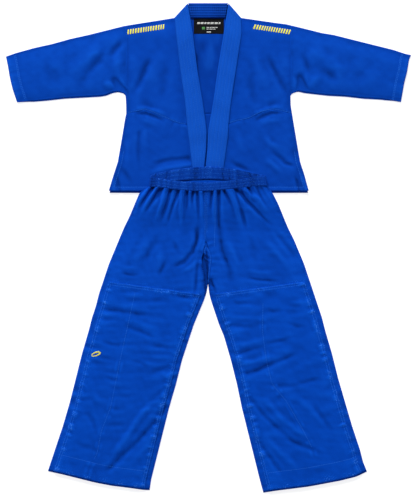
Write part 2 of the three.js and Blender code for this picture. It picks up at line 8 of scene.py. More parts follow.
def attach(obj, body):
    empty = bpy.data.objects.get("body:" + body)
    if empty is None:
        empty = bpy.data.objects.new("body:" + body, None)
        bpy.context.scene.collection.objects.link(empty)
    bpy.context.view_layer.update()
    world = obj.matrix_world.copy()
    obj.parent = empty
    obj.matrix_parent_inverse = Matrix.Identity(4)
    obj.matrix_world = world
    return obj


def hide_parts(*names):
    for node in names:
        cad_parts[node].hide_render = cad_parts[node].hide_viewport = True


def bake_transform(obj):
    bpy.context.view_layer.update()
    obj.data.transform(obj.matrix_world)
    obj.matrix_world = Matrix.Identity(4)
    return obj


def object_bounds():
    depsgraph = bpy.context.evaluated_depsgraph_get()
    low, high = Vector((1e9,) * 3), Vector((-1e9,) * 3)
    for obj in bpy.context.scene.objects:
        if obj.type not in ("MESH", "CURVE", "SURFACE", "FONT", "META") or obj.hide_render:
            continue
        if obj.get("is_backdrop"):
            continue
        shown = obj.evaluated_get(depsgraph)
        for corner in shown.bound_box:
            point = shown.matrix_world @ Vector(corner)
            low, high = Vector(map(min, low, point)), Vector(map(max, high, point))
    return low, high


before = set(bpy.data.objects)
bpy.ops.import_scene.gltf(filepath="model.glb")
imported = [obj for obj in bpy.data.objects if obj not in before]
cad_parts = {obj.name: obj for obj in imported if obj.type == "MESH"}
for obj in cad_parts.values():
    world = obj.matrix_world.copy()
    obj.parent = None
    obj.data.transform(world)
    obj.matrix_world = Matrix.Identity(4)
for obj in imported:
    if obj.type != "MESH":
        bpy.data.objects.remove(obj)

CAD_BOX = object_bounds()

# ----------------------------------------------------------------------------
# A uniform laid flat. All tables are in millimetres in the part's own frame:
# +Y towards the collar, the wearer's right at -X, the table at z = 0.
# ----------------------------------------------------------------------------
MM = 0.001
CLOTH = 1.6
PLY_GAP = 0.4
JACKET_LOFT, JACKET_ROLL = 4.6, 42.0
TROUSER_LOFT, TROUSER_ROLL, TROUSER_PLY_GAP = 6.1, 44.0, 0.75
REST_ON_JACKET, STEP_HIGH_Y, STEP_LOW_Y = 12.0, 148.0, 44.0
LAPEL_THICK, BAND_THICK, WAIST_LOFT = 5.6, 4.3, 5.6

SHOULDER_R = [[-249.8, 606], [-233.2, 610.1], [-189.1, 617.3], [-142.1, 624.7], [-94.4, 632.5]]
SIDE_R = [[-249.8, 606], [-249.8, 430.7], [-233.2, 425.2], [-227.7, 416.9], [-227.1, 392.1], [-226.9, 368.3]]
YOKE_SEAM_R = [[-226.9, 368.3], [-189.1, 375.5], [-178, 379.1], [-158.7, 372.7], [-103.5, 349.3], [-78.7, 339.6], [-59.9, 338]]
LAPEL_OUTER_R_UP = [[-94.4, 632.5], [-88.9, 577], [-78.7, 491.4], [-64.9, 397.6], [-59.9, 338]]
LAPEL_OUTER_R_LOW = [[-59.9, 338], [-55.2, 301], [-45.5, 222.3], [-37.3, 155.8]]
LAPEL_INNER_R = [[-57.1, 673], [-42.8, 588], [-30.9, 491.4], [-15.2, 397.6], [-4.7, 320.3], [-6.3, 270.6], [-11.3, 222.3], [-13.5, 155.8]]
SKIRT_SIDE_R = [[-226.9, 368.3], [-230.5, 350.7], [-233.2, 334.1], [-238.7, 301], [-244.3, 267.9], [-249.8, 234.7], [-260.8, 201.6], [-274.6, 155.8]]
SHOULDER_L = [[247, 607.3], [213.9, 615.1], [183.5, 618.9], [136.6, 625.8], [90.3, 632.5]]
SIDE_L = [[247, 607.3], [247, 432.1], [230.5, 425.2], [224.9, 416.9], [226.6, 392.1], [230.5, 368.3]]
YOKE_SEAM_L = [[230.5, 368.3], [197.3, 375.5], [175.3, 379.1], [147.7, 372.7], [109, 353.4], [73.1, 346.2], [55.8, 339.6]]
LAPEL_OUTER_L_UP = [[90.3, 632.5], [91.4, 588], [76.7, 491.4], [62.1, 397.6], [55.8, 339.6]]
LAPEL_OUTER_L_LOW = [[55.8, 339.6], [53.8, 301], [42.8, 222.3], [34.5, 155.8]]
LAPEL_INNER_L = [[54.9, 673], [41.4, 588], [25.4, 491.4], [12.4, 397.6], [-1.4, 320.3], [-3, 270.6], [-8, 222.3], [-10.2, 155.8]]
SKIRT_SIDE_L = [[230.5, 368.3], [233.2, 350.7], [236, 334.1], [241.5, 301], [247, 267.9], [252.5, 234.7], [263.6, 201.6], [276, 155.8]]
SLEEVE_TOP_R = [[-249.8, 606], [-266.3, 601.8], [-299.5, 593.5], [-332.6, 585.3], [-382.3, 574.2], [-431.9, 560.4], [-481.6, 549.4], [-531.3, 535.6], [-558.9, 525.9]]
SLEEVE_LOW_R = [[-249.8, 430.7], [-266.3, 429.3], [-282.9, 422.4], [-299.5, 419.7], [-349.1, 416.9], [-398.8, 414.1], [-448.5, 408.6], [-498.2, 404.5], [-528.5, 400.3]]
CUFF_R = [[-558.9, 525.9], [-553.4, 499.7], [-547.9, 466.6], [-539.6, 433.5], [-528.5, 400.3]]
SLEEVE_TOP_L = [[247, 607.3], [280.1, 599.1], [313.3, 590.8], [346.4, 585.3], [379.5, 577], [445.7, 560.4], [512, 543.9], [545.1, 532.8], [558.9, 530.1]]
SLEEVE_LOW_L = [[247, 432.1], [280.1, 427.9], [329.8, 422.4], [379.5, 419.7], [429.2, 414.1], [478.9, 411.4], [512, 405.9], [531.3, 400.9]]
CUFF_L = [[558.9, 530.1], [553.4, 516.3], [547.9, 483.1], [539.6, 450], [531.3, 400.9]]
WB_BACK_TOP = [[-155.9, 200.2], [-120.1, 208.5], [-78.7, 216], [-45.5, 219.8], [-1.4, 222.3], [37.3, 219.8], [86.9, 212.7], [120.1, 204.4], [153.2, 198.9]]
WB_BACK_LOW = [[-162, 167.1], [-120.1, 176.8], [-78.7, 182.3], [-45.5, 185.1], [-1.4, 186.4], [37.3, 185.1], [86.9, 180.9], [120.1, 176.2], [160.9, 168.5]]
WB_FRONT_TOP = [[-160.1, 193.3], [-133.9, 189.2], [-103.5, 183.7], [-62.1, 179.5], [-1.4, 177.9], [48.3, 182.3], [95.2, 187.8], [131.1, 193.9], [156.8, 196.6]]
WB_FRONT_LOW_R = [[-162.8, 167.1], [-133.9, 163.5], [-92.5, 158.6], [-51.1, 154.7], [-8.6, 153.6]]
WB_FRONT_LOW_L = [[161.5, 168.5], [131.1, 167.9], [95.2, 163.3], [48.3, 158], [-8.6, 153.6]]
THIGH_OUT_R = [[-162, 167.1], [-189.1, 150.6], [-202.9, 118.8], [-216.7, 85.7], [-233.2, 52.6], [-247, 19.5], [-260.8, -13.7], [-274.6, -46.8], [-285.7, -79.9], [-288.7, -89.6]]
LEG_OUT_R = [[-288.7, -89.6], [-296.7, -113], [-302.2, -129.6], [-310.5, -162.7], [-321.5, -195.8], [-329.8, -228.9], [-349.1, -295.2], [-365.7, -361.4], [-382.3, -427.7], [-401.6, -493.9], [-423.7, -560.1], [-434.7, -593.3], [-441.6, -614]]
THIGH_OUT_L = [[160.9, 168.5], [175.3, 150.6], [191.8, 118.8], [205.6, 85.7], [219.4, 52.6], [236, 19.5], [249.8, -13.7], [263.6, -46.8], [274.6, -79.9], [277.9, -89.6]]
LEG_OUT_L = [[277.9, -89.6], [285.7, -113], [291.2, -129.6], [302.2, -162.7], [313.3, -195.8], [321.5, -228.9], [340.9, -295.2], [357.4, -361.4], [376.7, -427.7], [396.1, -493.9], [418.1, -560.1], [426.4, -593.3], [435.5, -615.3]]
FRONT_RISE_R = [[-8.6, 153.6], [-7.5, 19.5], [-18.5, -30.2], [-8.8, -77.1], [-2.5, -102], [-6.1, -127.6]]
FRONT_RISE_L = [[-8.6, 153.6], [-7.5, 19.5], [8.6, -30.2], [3, -77.1], [0.3, -102], [2.2, -127.6]]
GUSSET = [[-7.5, 19.5], [8.6, -30.2], [3, -77.1], [-1.1, -102], [-8.8, -77.1], [-18.5, -30.2]]
BACK_RISE_R = [[-1.4, 186.4], [-1.9, 19.5], [-1.4, -102], [-6.1, -127.6]]
BACK_RISE_L = [[-1.4, 186.4], [-1.9, 19.5], [-0.8, -102], [2.2, -127.6]]
LEG_IN_R = [[-6.1, -127.6], [-12.4, -146.1], [-26.2, -179.3], [-40, -212.4], [-51.1, -245.5], [-73.1, -311.7], [-89.7, -378], [-109, -444.2], [-125.6, -510.5], [-142.1, -576.7], [-158.7, -642.9], [-162, -666.1]]
LEG_IN_L = [[2.2, -127.6], [6.9, -146.1], [17.9, -179.3], [29, -212.4], [42.8, -245.5], [62.1, -311.7], [78.7, -378], [92.5, -444.2], [109, -510.5], [125.6, -576.7], [142.1, -642.9], [150.4, -673.3]]
HEM_R = [[-441.6, -614], [-398.8, -623.6], [-354.7, -634.7], [-310.5, -645.7], [-266.3, -654], [-222.2, -659.5], [-178, -665.6], [-162, -666.1]]
HEM_L = [[435.5, -615.3], [407.1, -629.1], [362.9, -640.2], [318.8, -648.5], [274.6, -656.7], [230.5, -662.3], [186.3, -667.8], [150.4, -673.3]]

# folds: height, half width, crispness, fade at the start, fade at the end, line
JACKET_FOLDS = [
    (3.29, 35.1, 0.19, 1, 1, [(-393.3, 466.6), (-343.6, 510.7), (-288.4, 554.9)]),
    (-3.45, 20.2, 0.3, 1, 1, [(-343.6, 472.1), (-313.3, 508), (-280.1, 546.6)]),
    (-3.29, 16.2, 0.3, 1, 1, [(-282.9, 516.3), (-260.8, 543.9), (-227.7, 582.5)]),
    (2.51, 27, 0.19, 1, 1, [(-271.9, 477.6), (-255.3, 499.7), (-238.7, 538.3)]),
    (-6.35, 18.9, 0.32, 1, 0, [(-271.9, 477.6), (-255.3, 455.5), (-233.2, 425.2)]),
    (2.35, 18.9, 0.22, 1, 1, [(-293.9, 444.5), (-277.4, 450), (-263.6, 433.5)]),
    (-1.57, 29.7, 0.05, 1, 1, [(-470.6, 516.3), (-431.9, 477.6), (-409.9, 433.5)]),
    (1.41, 35.1, 0.05, 1, 1, [(-492.7, 494.2), (-431.9, 499.7), (-382.3, 516.3)]),
    (-1.25, 18.9, 0.16, 1, 1, [(-371.2, 427.9), (-343.6, 461.1), (-327.1, 483.1)]),
    (-2.81, 17.6, 0.3, 1, 1, [(-155.9, 532.8), (-172.5, 499.7), (-189.1, 461.1), (-213.9, 411.4)]),
    (2.11, 29.7, 0.14, 1, 1, [(-125.6, 554.9), (-144.9, 499.7), (-167, 439)]),
    (1.76, 35.1, 0.08, 1, 1, [(-208.4, 543.9), (-205.6, 499.7), (-216.7, 455.5)]),
    (-1.58, 24.3, 0.11, 1, 1, [(-111.8, 516.3), (-122.8, 461.1), (-133.9, 394.8)]),
    (-1.4, 21.6, 0.11, 1, 1, [(-200.1, 405.9), (-167, 389.3), (-133.9, 372.7)]),
    (3.29, 32.4, 0.19, 1, 1, [(266.3, 552.1), (321.5, 519), (387.8, 474.9)]),
    (-2.98, 20.2, 0.27, 1, 1, [(302.2, 499.7), (335.3, 477.6), (362.9, 444.5)]),
    (-2.82, 17.6, 0.27, 1, 1, [(252.5, 543.9), (269.1, 510.7), (285.7, 466.6)]),
    (-6.35, 18.9, 0.32, 1, 0, [(247, 488.7), (255.3, 461.1), (260.8, 430.7)]),
    (2.35, 20.2, 0.19, 1, 1, [(274.6, 427.9), (291.2, 455.5), (313.3, 483.1)]),
    (1.41, 32.4, 0.05, 1, 1, [(390.5, 516.3), (440.2, 483.1), (478.9, 444.5)]),
    (-1.41, 27, 0.08, 1, 1, [(396.1, 450), (434.7, 494.2), (473.3, 521.8)]),
    (-2.86, 17.6, 0.27, 1, 1, [(158.7, 538.3), (180.8, 494.2), (202.9, 450), (224.9, 411.4)]),
    (2.41, 27, 0.14, 1, 1, [(120.1, 554.9), (136.6, 499.7), (164.2, 433.5)]),
    (1.97, 29.7, 0.08, 1, 1, [(208.4, 554.9), (213.9, 510.7), (219.4, 466.6)]),
    (-1.75, 24.3, 0.11, 1, 1, [(109, 488.7), (120.1, 433.5), (131.1, 383.8)]),
    (-1.75, 20.2, 0.11, 1, 1, [(147.7, 383.8), (175.3, 394.8), (208.4, 411.4)]),
    (-3.96, 8, 0.54, 1, 1, [(-208.4, 368.6), (-172.5, 368.6), (-139.4, 356.2), (-117.3, 347.9)]),
    (-3.74, 8, 0.54, 1, 1, [(120.1, 346.5), (147.7, 358.9), (175.3, 370), (213.9, 370)]),
    (1.56, 11, 0.27, 1, 1, [(-211.1, 383.8), (-172.5, 383.8), (-133.9, 372.7), (-106.3, 358.9)]),
    (1.56, 11, 0.27, 1, 1, [(114.5, 361.7), (147.7, 375.5), (180.8, 386.5), (213.9, 386.5)]),
    (1.25, 12, 0.27, 1, 1, [(-205.6, 350.7), (-167, 347.9), (-128.3, 331.3)]),
    (1.4, 12, 0.27, 1, 1, [(131.1, 331.3), (164.2, 347.9), (208.4, 353.4)]),
    (-1.44, 11, 0.5, 0, 1, [(-191.8, 314.8), (-194.6, 267.9), (-191.8, 223.7), (-189.1, 185.1)]),
    (1.14, 13, 0.36, 0, 1, [(-175.3, 317.5), (-175.3, 267.9), (-169.7, 223.7)]),
    (0.76, 15, 0.23, 1, 1, [(-222.2, 306.5), (-224.9, 262.3), (-227.7, 212.7)]),
    (2.5, 15, 0.27, 1, 0, [(-167, 204.4), (-111.8, 218.2), (-51.1, 226.5)]),
    (-2.34, 11, 0.41, 1, 0, [(-161.5, 229.2), (-111.8, 240.3), (-56.6, 245.8)]),
    (-1.56, 12, 0.32, 1, 1, [(-249.8, 229.2), (-227.7, 201.6), (-205.6, 168.5)]),
    (2.03, 9, 0.45, 1, 0, [(-269.1, 201.6), (-263.6, 182.3), (-260.8, 157.5)]),
    (-1.72, 8, 0.45, 1, 0, [(-255.3, 207.1), (-249.8, 182.3), (-244.3, 157.5)]),
    (-2.81, 13, 0.45, 1, 1, [(164.2, 270.6), (197.3, 248.5), (233.2, 215.4)]),
    (2.18, 14, 0.32, 1, 1, [(147.7, 251.3), (180.8, 226.5), (213.9, 193.3)]),
    (-2.34, 8, 0.5, 1, 1, [(200.1, 234.7), (219.4, 229.2), (241.5, 223.7)]),
    (-2.5, 12, 0.45, 1, 1, [(53.8, 240.3), (86.9, 223.7), (125.6, 204.4)]),
    (2.03, 13, 0.32, 1, 1, [(59.3, 218.2), (98, 204.4), (147.7, 193.3)]),
    (2.03, 14, 0.27, 1, 1, [(147.7, 317.5), (169.7, 284.4), (208.4, 267.9)]),
    (2.18, 9, 0.45, 1, 0, [(249.8, 212.7), (260.8, 187.8), (271.9, 157.5)]),
    (-1.87, 8, 0.45, 1, 0, [(236, 201.6), (244.3, 182.3), (249.8, 157.5)]),
    (1.4, 16, 0.18, 1, 1, [(75.9, 328.6), (86.9, 284.4), (103.5, 251.3)]),
]
TROUSER_FOLDS = [
    (-7.2, 10, 0.54, 0, 1, [(-150.4, 165.7), (-178, 129.9), (-208.4, 88.5)]),
    (-6.58, 10, 0.54, 0, 1, [(-128.3, 161.6), (-155.9, 124.3), (-183.5, 85.7)]),
    (-5.64, 9, 0.54, 0, 1, [(-103.5, 160.2), (-114.5, 116.1), (-139.4, 52.6)]),
    (-5.01, 8, 0.54, 0, 1, [(-78.7, 157.5), (-98, 116.1), (-120.1, 44.3)]),
    (-5.32, 7, 0.54, 0, 1, [(-59.3, 157.5), (-56.6, 129.9), (-62.1, 91.2)]),
    (-5.64, 7, 0.54, 0, 1, [(-42.8, 154.7), (-45.5, 135.4), (-48.3, 110.5)]),
    (-4.7, 7, 0.54, 0, 1, [(-31.7, 151.9), (-29, 113.3), (-26.2, 58.1)]),
    (-5.32, 7, 0.54, 0, 1, [(9.7, 151.9), (6.9, 121.6), (4.1, 91.2)]),
    (-5.95, 8, 0.54, 0, 1, [(29, 154.7), (29, 102.3), (29, 44.3)]),
    (-5.64, 8, 0.54, 0, 1, [(42.8, 154.7), (53.8, 135.4), (67.6, 107.8)]),
    (-6.58, 9, 0.54, 0, 1, [(75.9, 160.2), (109, 124.3), (136.6, 96.7), (186.3, 47.1)]),
    (-6.26, 9, 0.54, 0, 1, [(109, 163), (122.8, 140.9), (136.6, 116.1)]),
    (-4.7, 9, 0.45, 1, 1, [(86.9, 118.8), (95.2, 85.7), (106.3, 41.5)]),
    (6.26, 11, 0.41, 0, 1, [(-117.3, 160.2), (-128.3, 118.8), (-153.2, 58.1)]),
    (5.32, 10, 0.41, 0, 1, [(-73.1, 157.5), (-75.9, 107.8), (-75.9, 41.5)]),
    (4.07, 6, 0.45, 0, 1, [(-51.1, 154.7), (-51.1, 124.3), (-53.8, 96.7)]),
    (4.38, 8, 0.41, 0, 1, [(-20.7, 151.9), (-17.9, 102.3), (-15.2, 58.1)]),
    (4.07, 8, 0.41, 0, 1, [(17.9, 151.9), (15.2, 102.3), (12.4, 58.1)]),
    (5.95, 12, 0.32, 0, 1, [(56.6, 157.5), (75.9, 113.3), (89.7, 41.5)]),
    (5.95, 12, 0.32, 0, 1, [(95.2, 163), (136.6, 129.9), (175.3, 80.2)]),
    (4.7, 10, 0.36, 0, 1, [(-164.2, 163), (-189.1, 124.3), (-211.1, 74.7)]),
    (4.7, 9, 0.36, 0, 1, [(-144.9, 163), (-167, 124.3), (-194.6, 74.7)]),
    (1.68, 21.6, 0.17, 1, 1, [(-161.5, 41.5), (-189.1, -13.7), (-216.7, -57.8)]),
    (-1.56, 16.8, 0.24, 1, 1, [(-128.3, 41.5), (-161.5, -8.1), (-183.5, -52.3)]),
    (-3.36, 13.2, 0.32, 1, 1, [(-29, 74.7), (-31.7, 19.5), (-45.5, -13.7), (-67.6, -41.3), (-109, -57.8)]),
    (-2.28, 8.4, 0.35, 1, 1, [(-26.2, -24.7), (-31.7, -57.8), (-34.5, -96.5), (-40, -146.1)]),
    (0.96, 7.2, 0.28, 1, 1, [(-17.9, -30.2), (-16.6, -68.9), (-15.2, -107.5)]),
    (-1.8, 7.2, 0.35, 1, 1, [(-1.4, -79.9), (9.7, -102), (23.5, -121.3)]),
    (1.8, 12, 0.28, 1, 1, [(-23.5, -30.2), (-51.1, -57.8), (-84.2, -74.4)]),
    (1.68, 16.8, 0.21, 1, 1, [(-133.9, 2.9), (-133.9, -30.2), (-144.9, -57.8)]),
    (-2.04, 10.8, 0.35, 1, 1, [(-111.8, -30.2), (-128.3, -57.8), (-142.1, -85.4)]),
    (-1.92, 9.6, 0.35, 1, 1, [(-244.3, -68.9), (-216.7, -77.1), (-186.3, -77.1)]),
    (1.32, 12, 0.24, 1, 1, [(-255.3, -52.3), (-216.7, -57.8), (-178, -57.8)]),
    (-2.28, 13.2, 0.39, 1, 1, [(175.3, 52.6), (208.4, 13.9), (247, -35.7)]),
    (2.04, 16.8, 0.24, 1, 1, [(147.7, 30.5), (186.3, -13.7), (224.9, -57.8)]),
    (-1.99, 16.2, 0.19, 1, 1, [(26.2, 116.1), (29, 60.9), (37.3, -2.6), (59.3, -63.3), (67.6, -107.5)]),
    (1.68, 13.2, 0.24, 1, 1, [(48.3, 30.5), (70.4, -19.2), (86.9, -63.3)]),
    (-2.04, 8.4, 0.39, 1, 1, [(98, -82.7), (142.1, -90.9), (202.9, -93.7)]),
    (1.44, 10.8, 0.24, 1, 1, [(92.5, -63.3), (142.1, -71.6), (197.3, -74.4)]),
    (-1.2, 16.8, 0.17, 1, 1, [(114.5, 30.5), (125.6, -13.7), (131.1, -57.8)]),
    (-1.44, 12, 0.24, 1, 1, [(-100.7, 30.5), (-89.7, -2.6), (-73.1, -30.2)]),
    (-1.69, 11.6, 0.28, 1, 1, [(-308.6, -168.5), (-246.7, -176.2), (-157.9, -187.8)]),
    (1.16, 13, 0.17, 1, 1, [(-304.2, -151.9), (-234.6, -159.7), (-149.6, -171.3)]),
    (-1.58, 10.2, 0.28, 1, 1, [(-112.6, -124.3), (-74, -135.9), (-27.6, -139.8)]),
    (-1.69, 11.6, 0.28, 1, 1, [(-243.2, -212.1), (-189.1, -231.4), (-135, -254.6)]),
    (1.16, 13, 0.17, 1, 1, [(-232.9, -195.5), (-178.8, -214.9), (-117, -238)]),
    (-1.48, 10.2, 0.28, 1, 1, [(-305.8, -256.3), (-267.2, -267.9), (-220.8, -275.6)]),
    (-1.48, 10.2, 0.28, 1, 1, [(-169.2, -272), (-122.8, -275.9), (-76.5, -279.7)]),
    (-1.37, 8.7, 0.28, 1, 1, [(-318, -302.1), (-283.2, -305.9), (-244.5, -313.7)]),
    (-1.48, 10.2, 0.28, 1, 1, [(-220, -311.5), (-189.1, -319.2), (-158.1, -334.6)]),
    (-1.79, 13, 0.28, 1, 1, [(-175.5, -352.3), (-129.2, -336.9), (-75.1, -317.5)]),
    (1.26, 13, 0.17, 1, 1, [(-190.2, -367.5), (-128.3, -359.8), (-66.5, -340.4)]),
    (-1.37, 10.2, 0.28, 1, 1, [(-302.8, -349.8), (-271.9, -361.4), (-240.9, -373)]),
    (-2.86, 15.6, 0.28, 1, 1, [(-108.2, -428.8), (-146.8, -479), (-193.2, -533.1), (-247.3, -583.3), (-293.7, -629.7)]),
    (2.73, 16.9, 0.19, 1, 1, [(-148.8, -420.5), (-195.1, -474.6), (-233.8, -536.4), (-272.4, -582.8)]),
    (-1.48, 13, 0.22, 1, 1, [(-114, -381), (-144.9, -411.9), (-175.8, -435.1)]),
    (1.43, 15.6, 0.17, 1, 1, [(-132.5, -488.1), (-171.1, -549.9), (-225.2, -604)]),
    (-1.16, 13, 0.19, 1, 1, [(-351.1, -437.9), (-320.2, -476.5), (-304.7, -522.9)]),
    (-1.3, 15.6, 0.14, 1, 1, [(-383.6, -527.3), (-345, -550.5), (-290.9, -558.2)]),
    (1.17, 15.6, 0.14, 1, 1, [(-331.8, -392.6), (-300.8, -423.5), (-254.5, -439)]),
    (-1.58, 10.2, 0.28, 1, 1, [(54.1, -151.4), (88.9, -155.2), (131.4, -151.4)]),
    (-1.58, 11.6, 0.28, 1, 1, [(153.5, -169.9), (180.5, -177.6), (211.4, -173.7)]),
    (-1.48, 10.2, 0.28, 1, 1, [(207.8, -163), (238.7, -163), (269.7, -159.1)]),
    (-1.69, 11.6, 0.28, 1, 1, [(43.9, -211.3), (98, -219), (152.1, -215.1)]),
    (-1.58, 10.2, 0.28, 1, 1, [(210.6, -207.1), (241.5, -218.7), (272.4, -222.6)]),
    (1.16, 13, 0.17, 1, 1, [(52.7, -192.2), (114.5, -196.1), (176.4, -196.1)]),
    (-1.69, 11.6, 0.28, 1, 1, [(141.3, -271.2), (191.5, -259.6), (245.6, -244.1)]),
    (-1.69, 11.6, 0.28, 1, 1, [(64, -299.6), (114.3, -284.1), (168.4, -268.7)]),
    (1.16, 13, 0.17, 1, 1, [(71.5, -277.5), (125.6, -262.1), (179.7, -246.6)]),
    (-1.79, 13, 0.28, 1, 1, [(140.5, -331.1), (190.7, -315.6), (252.5, -288.6)]),
    (-2.42, 13, 0.28, 1, 1, [(66.8, -355.1), (124.8, -343.5), (190.4, -316.4)]),
    (1.58, 13, 0.17, 1, 1, [(70.1, -326.9), (131.9, -315.3), (186, -296)]),
    (-1.58, 11.6, 0.28, 1, 1, [(228.3, -381.3), (274.6, -369.7), (321, -358.1)]),
    (-1.48, 11.6, 0.28, 1, 1, [(167.5, -379.9), (213.9, -383.8), (260.3, -383.8)]),
    (-2.11, 13, 0.28, 1, 1, [(102.1, -397.6), (156.2, -467.1), (233.5, -536.7), (322.4, -571.5)]),
    (2.34, 15.6, 0.19, 1, 1, [(145.2, -409.2), (207, -478.7), (284.3, -532.8)]),
    (-2, 13, 0.28, 1, 1, [(130.8, -525.1), (169.5, -579.2), (212, -637.1)]),
    (1.95, 15.6, 0.17, 1, 1, [(150.1, -518.5), (196.5, -564.8), (250.6, -618.9)]),
    (1.3, 15.6, 0.14, 1, 1, [(240.1, -408.9), (286.5, -455.3), (325.1, -501.6)]),
    (-1.16, 13, 0.19, 1, 1, [(274.6, -412.2), (313.3, -466.3), (351.9, -520.4)]),
]


# ---------------------------------------------------------------- small maths
def arr(c):
    return np.asarray(c, float)


def length(c):
    c = arr(c)
    return float(np.hypot(*(c[1:] - c[:-1]).T).sum())


def sample(c, ts):
    """Points at fractions ts of a polyline's length."""
    c = arr(c)
    d = np.r_[0, np.cumsum(np.sqrt(((c[1:] - c[:-1]) ** 2).sum(1)))]
    ts = np.clip(arr(ts), 0, 1) * d[-1]
    return np.stack([np.interp(ts, d, c[:, k]) for k in range(c.shape[1])], 1)


def rounded(c, r=6.0, step=2.0):
    """A polyline resampled evenly with its corners eased."""
    n = max(8, int(length(c) / step))
    p = sample(c, np.linspace(0, 1, n + 1))
    k = max(1, int(r / step))
    q = p.copy()
    for _ in range(k):
        q[1:-1] = 0.25 * q[:-2] + 0.5 * q[1:-1] + 0.25 * q[2:]
    return q


def offset(c, d):
    """A polyline moved to its left by d."""
    c = arr(c)
    t = np.gradient(c, axis=0)
    t /= np.sqrt((t ** 2).sum(1))[:, None] + 1e-9
    return c + np.stack([-t[:, 1], t[:, 0]], 1) * d


def distance(lines, X, Y):
    best = np.full(np.shape(X), 1e9)
    for c in lines:
        c = arr(c)
        for a, b in zip(c[:-1], c[1:]):
            dx, dy = b - a
            L = dx * dx + dy * dy
            if L < 1e-12:
                continue
            t = np.clip(((X - a[0]) * dx + (Y - a[1]) * dy) / L, 0, 1)
            best = np.minimum(best, np.hypot(X - a[0] - dx * t, Y - a[1] - dy * t))
    return best


def along(c, X, Y):
    """Distance from a polyline, and the arc length of the nearest point on it."""
    c = arr(c)
    best, s_at, s0 = np.full(np.shape(X), 1e9), np.zeros(np.shape(X)), 0.0
    for a, b in zip(c[:-1], c[1:]):
        dx, dy = b - a
        L = math.hypot(dx, dy)
        if L < 1e-9:
            continue
        t = np.clip(((X - a[0]) * dx + (Y - a[1]) * dy) / (L * L), 0, 1)
        d = np.hypot(X - a[0] - dx * t, Y - a[1] - dy * t)
        near = d < best
        best = np.where(near, d, best)
        s_at = np.where(near, s0 + L * t, s_at)
        s0 += L
    return best, s_at, s0


def smooth(t):
    u = np.clip(t, 0, 1)
    return u * u * (3 - 2 * u)


def roll(d, w):
    return np.sin(np.pi / 2 * np.minimum(1, d / w))


def noise1(s, wave, seed):
    """Smooth noise along a line, about -1 to 1."""
    rng = np.random.RandomState(seed)
    table = rng.uniform(-1, 1, 512)
    x = np.asarray(s) / wave + rng.uniform(0, 100)
    i = np.floor(x).astype(int)
    f = smooth(x - i)
    return table[i % 512] * (1 - f) + table[(i + 1) % 512] * f


def noise2(X, Y, wave, seed, n=9):
    """Smooth noise over the plane, about -1 to 1."""
    rng = np.random.RandomState(seed)
    out = np.zeros(np.shape(X))
    for _ in range(n):
        a, ph = rng.uniform(0, 2 * np.pi, 2)
        k = 2 * np.pi / (wave * rng.uniform(0.7, 1.5))
        out += np.cos(k * (X * np.cos(a) + Y * np.sin(a)) + ph)
    return out / math.sqrt(n)


def folds(table, X, Y):
    """Sum of ridges (+) and valleys (-), each along its line."""
    out = np.zeros(np.shape(X))
    for height, width, crisp, fade0, fade1, line in table:
        c = rounded(line, 8, 3)
        lo, hi = c.min(0) - width - 4, c.max(0) + width + 4
        near = (X > lo[0]) & (X < hi[0]) & (Y > lo[1]) & (Y < hi[1])
        if not near.any():
            continue
        x, y = X[near], Y[near]
        d, s, L = along(c, x, y)
        w = width * (1.12 + 0.18 * noise1(s, 23, int(abs(line[0][0]) + 7)))
        t = np.clip(d / w, 0, 1)
        soft = (1 - t * t) ** 2 * (1 - 1.25 * t * t)
        sharp = (1 - t) ** 2 * (1 + 0.6 * t)
        p = soft * (1 - crisp) + sharp * crisp
        span = min(0.48 * L, 40) if fade0 else 0.8 * L
        f = np.ones_like(s)
        if fade0:
            f *= smooth(s / span)
        if fade1:
            f *= smooth((L - s) / span)
        out[near] += height * p * f
    return out


# ------------------------------------------------------------- cloth heights
jacket_sides = [SHOULDER_R, SIDE_R[1:], SKIRT_SIDE_R[:5], SHOULDER_L, SIDE_L[1:], SKIRT_SIDE_L[:5],
                SLEEVE_TOP_R, SLEEVE_LOW_R, SLEEVE_TOP_L, SLEEVE_LOW_L]
leg_sides = [THIGH_OUT_R, LEG_OUT_R, THIGH_OUT_L, LEG_OUT_L,
             [[-2.4, -102]] + LEG_IN_R, [[-1.2, -102]] + LEG_IN_L]


def jacket_under(X, Y):
    return CLOTH + PLY_GAP + JACKET_LOFT * roll(distance(jacket_sides, X, Y), JACKET_ROLL)


def seat_under(X, Y):
    return REST_ON_JACKET * smooth((Y - STEP_LOW_Y) / (STEP_HIGH_Y - STEP_LOW_Y))


def leg_under(X, Y):
    return seat_under(X, Y) + CLOTH + TROUSER_PLY_GAP + TROUSER_LOFT * roll(distance(leg_sides, X, Y), TROUSER_ROLL)


# ------------------------------------------------------------------- grids
def coons(top, bottom, left, right, step, bias=None):
    """Grid of points with rows from top to bottom and columns from left to right."""
    nu = max(4, int(round((length(top) + length(bottom)) / 2 / step)))
    nv = max(4, int(round((length(left) + length(right)) / 2 / step)))
    u, v = np.linspace(0, 1, nu + 1), np.linspace(0, 1, nv + 1)
    T, B, L, R = sample(top, u), sample(bottom, u), sample(left, v), sample(right, v)
    U, V = u[None, :, None], v[:, None, None]
    return ((1 - V) * T[None] + V * B[None] + (1 - U) * L[:, None] + U * R[:, None]
            - ((1 - U) * (1 - V) * T[0] + U * (1 - V) * T[-1] + (1 - U) * V * B[0] + U * V * B[-1]))


def outer_first(g):
    """A grid whose columns run outer to inner on the left-hand side, turned to run along +X."""
    return g[:, ::-1]


